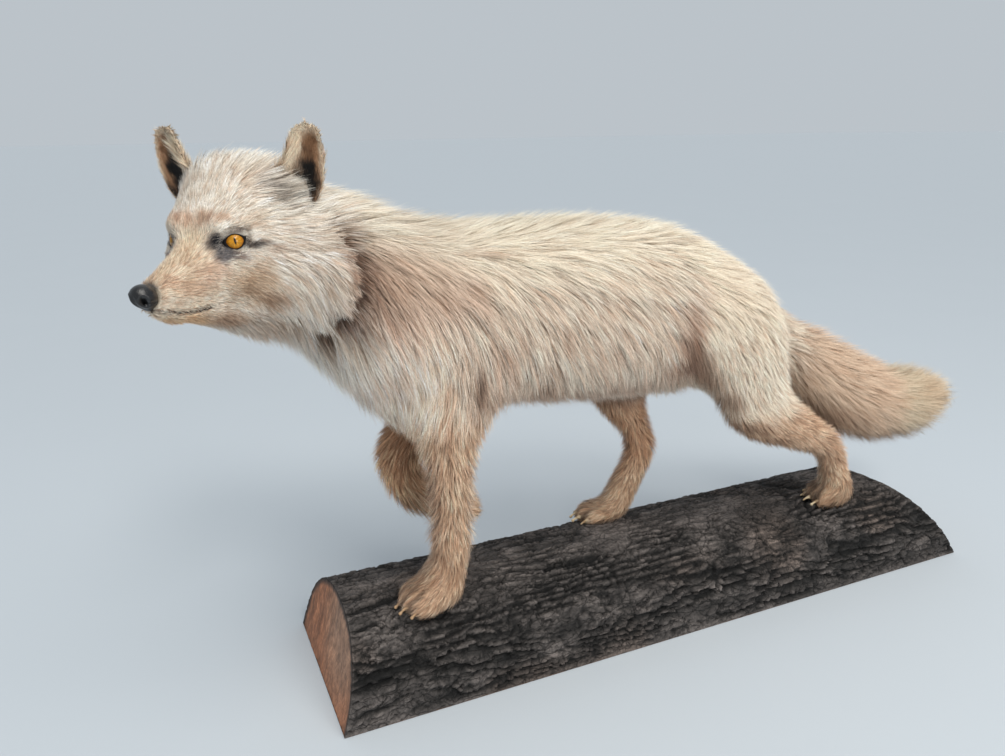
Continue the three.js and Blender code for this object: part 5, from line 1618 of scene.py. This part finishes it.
def sawn_end(side, rim):
    """Points and colours of a sawn end, in layers from its rim to the middle of its foot."""
    flat_y, flat_z = rim[None, :, 1] * shrink[:, None], rim[None, :, 2] * shrink[:, None]
    face = np.stack([log_end(side, flat_y, flat_z), flat_y, flat_z], -1).reshape(-1, 3)
    dent = 0.5 * lumps(face * [1, 1, 0.25], 3.0, 91) + 0.8 * lumps(face, 17, 92) - 0.6
    face[:, 0] += side * np.minimum(dent * (1 - smooth(inwards, 0.93, 1.0)), 0.3)
    away = np.hypot(face[:, 1] - PALE_AT[0], face[:, 2] - PALE_AT[1])
    tone = shaded(WOOD_PALE, WOOD_RED, smooth(away, 20, 75))
    tone = tone * (1 + 0.22 * lumps(face * [1, 1, 0.2], 2.2, 93) + 0.15 * lumps(face, 12, 94))[:, None]
    return face, shaded(tone, WOOD_EDGE, smooth(inwards, 0.93, 0.985))


wood_points, wood_faces, wood_tone, start = [], [], [], 0
for side, rim in ((-1, grid[0]), (1, grid[-1])):
    face, tone = sawn_end(side, rim)
    quads = grid_quads(LAYERS, LOG_COLUMNS, start=start)[:, TURNED]
    wood_points.append(face)
    wood_faces.append(quads if side < 0 else quads[:, ::-1])
    wood_tone.append(tone)
    start += len(face)
under = mix(grid[None, 0, [0, -1]], grid[None, -1, [0, -1]], np.linspace(0, 1, UNDER_ROWS)[:, None, None])
under[..., 2] = 0
wood_points.append(under.reshape(-1, 3))
wood_faces.append(grid_quads(UNDER_ROWS, 2, start=start)[:, TURNED])
wood_tone.append(np.tile(np.array(WOOD_UNDER), (UNDER_ROWS * 2, 1)))
wood_points, wood_faces, wood_tone = (np.concatenate(each) for each in (wood_points, wood_faces, wood_tone))
wood = Shader("sawn_wood", Roughness=0.8)
spot = wood.node("ShaderNodeTexCoord").outputs["Object"]
upright = wood.node("ShaderNodeMapping", {"Vector": spot, "Scale": (1.0, 1.0, 0.12)}).outputs["Vector"]
fibres = wood.noise(900, 4, upright)
wood.grained(fibres, 0.6, 1.25)
wood.bump(fibres, 0.0008, 0.8)
add_piece("log_ends", wood_points, wood_faces, linear(np.clip(wood_tone, 0.02, 0.9)), wood.material)

# ---- floor, light and camera --------------------------------------------------------------------

FLOOR, FLOOR_BELOW = 60.0, 0.0006
FLOOR_TONES = (0.505, 0.55, 0.59, 1), (0.515, 0.56, 0.60, 1)
corners = [(x * FLOOR, y * FLOOR, 0) for x, y in ((-1, -1), (1, -1), (1, 1), (-1, 1))]
floor_mesh = bpy.data.meshes.new("floor")
floor_mesh.from_pydata(corners, [], [(0, 1, 2, 3)])
floor = bpy.data.objects.new("floor", floor_mesh)
floor.location.z = -FLOOR_BELOW
bpy.context.scene.collection.objects.link(floor)
plain = Shader("floor", Roughness=0.8)
tones = {0: plain.noise(5, 2), 6: FLOOR_TONES[0], 7: FLOOR_TONES[1]}
plain.link(plain.node("ShaderNodeMix", tones, data_type="RGBA").outputs[2], "Base Color")
floor_mesh.materials.append(plain.material)

world = bpy.data.worlds.new("studio")
world.use_nodes = True
world.node_tree.nodes["Background"].inputs["Color"].default_value = (0.50, 0.545, 0.585, 1)
world.node_tree.nodes["Background"].inputs["Strength"].default_value = 1.0
bpy.context.scene.world = world
bpy.context.scene.view_settings.view_transform = "Standard"


def add_light(name, kind, place, aim, colour, **values):
    data = bpy.data.lights.new(name, kind)
    data.color = colour
    for key, value in values.items():
        setattr(data, key, value)
    light = bpy.data.objects.new(name, data)
    light.location = place
    light.rotation_euler = (Vector(aim) - Vector(place)).to_track_quat("-Z", "Y").to_euler()
    bpy.context.scene.collection.objects.link(light)


WARM, MILD = (1.0, 0.96, 0.90), (1.0, 0.98, 0.94)
DISK = {"shape": "DISK"}
add_light("sky", "SUN", (0.5, -1.2, 2.6), (0, 0, 0.25), WARM, energy=1.55, angle=math.radians(50))
add_light("key", "AREA", (-0.15, -1.3, 1.6), (-0.1, 0, 0.3), WARM, energy=10.4, size=0.5, **DISK)
add_light("fill", "AREA", (0.25, -1.6, 0.6), (-0.2, 0, 0.3), MILD, energy=8, size=0.8, **DISK)

FOCAL_PX, IMAGE_WIDTH = 755.0, 1005.0
PITCH, ROLL, YAW = (math.radians(a) for a in (18.01, 0.81, 22.51))
CAMERA_AT = (-0.3788, -0.5528, 0.436)
forward = np.array([math.sin(YAW) * math.cos(PITCH), math.cos(YAW) * math.cos(PITCH), -math.sin(PITCH)])
right = np.array([math.cos(YAW), -math.sin(YAW), 0])
down = np.cross(forward, right)
right, down = right * math.cos(ROLL) + down * math.sin(ROLL), down * math.cos(ROLL) - right * math.sin(ROLL)
camera_data = bpy.data.cameras.new("camera")
camera_data.sensor_width = 36
camera_data.lens = 36 * FOCAL_PX / IMAGE_WIDTH
camera_data.clip_start = 0.01
camera = bpy.data.objects.new("camera", camera_data)
pose = Matrix.Identity(4)
for row in range(3):
    for column, vector in enumerate((right, -down, -forward)):
        pose[row][column] = vector[row]
    pose[row][3] = CAMERA_AT[row]
camera.matrix_world = pose
bpy.context.scene.collection.objects.link(camera)
bpy.context.scene.camera = camera
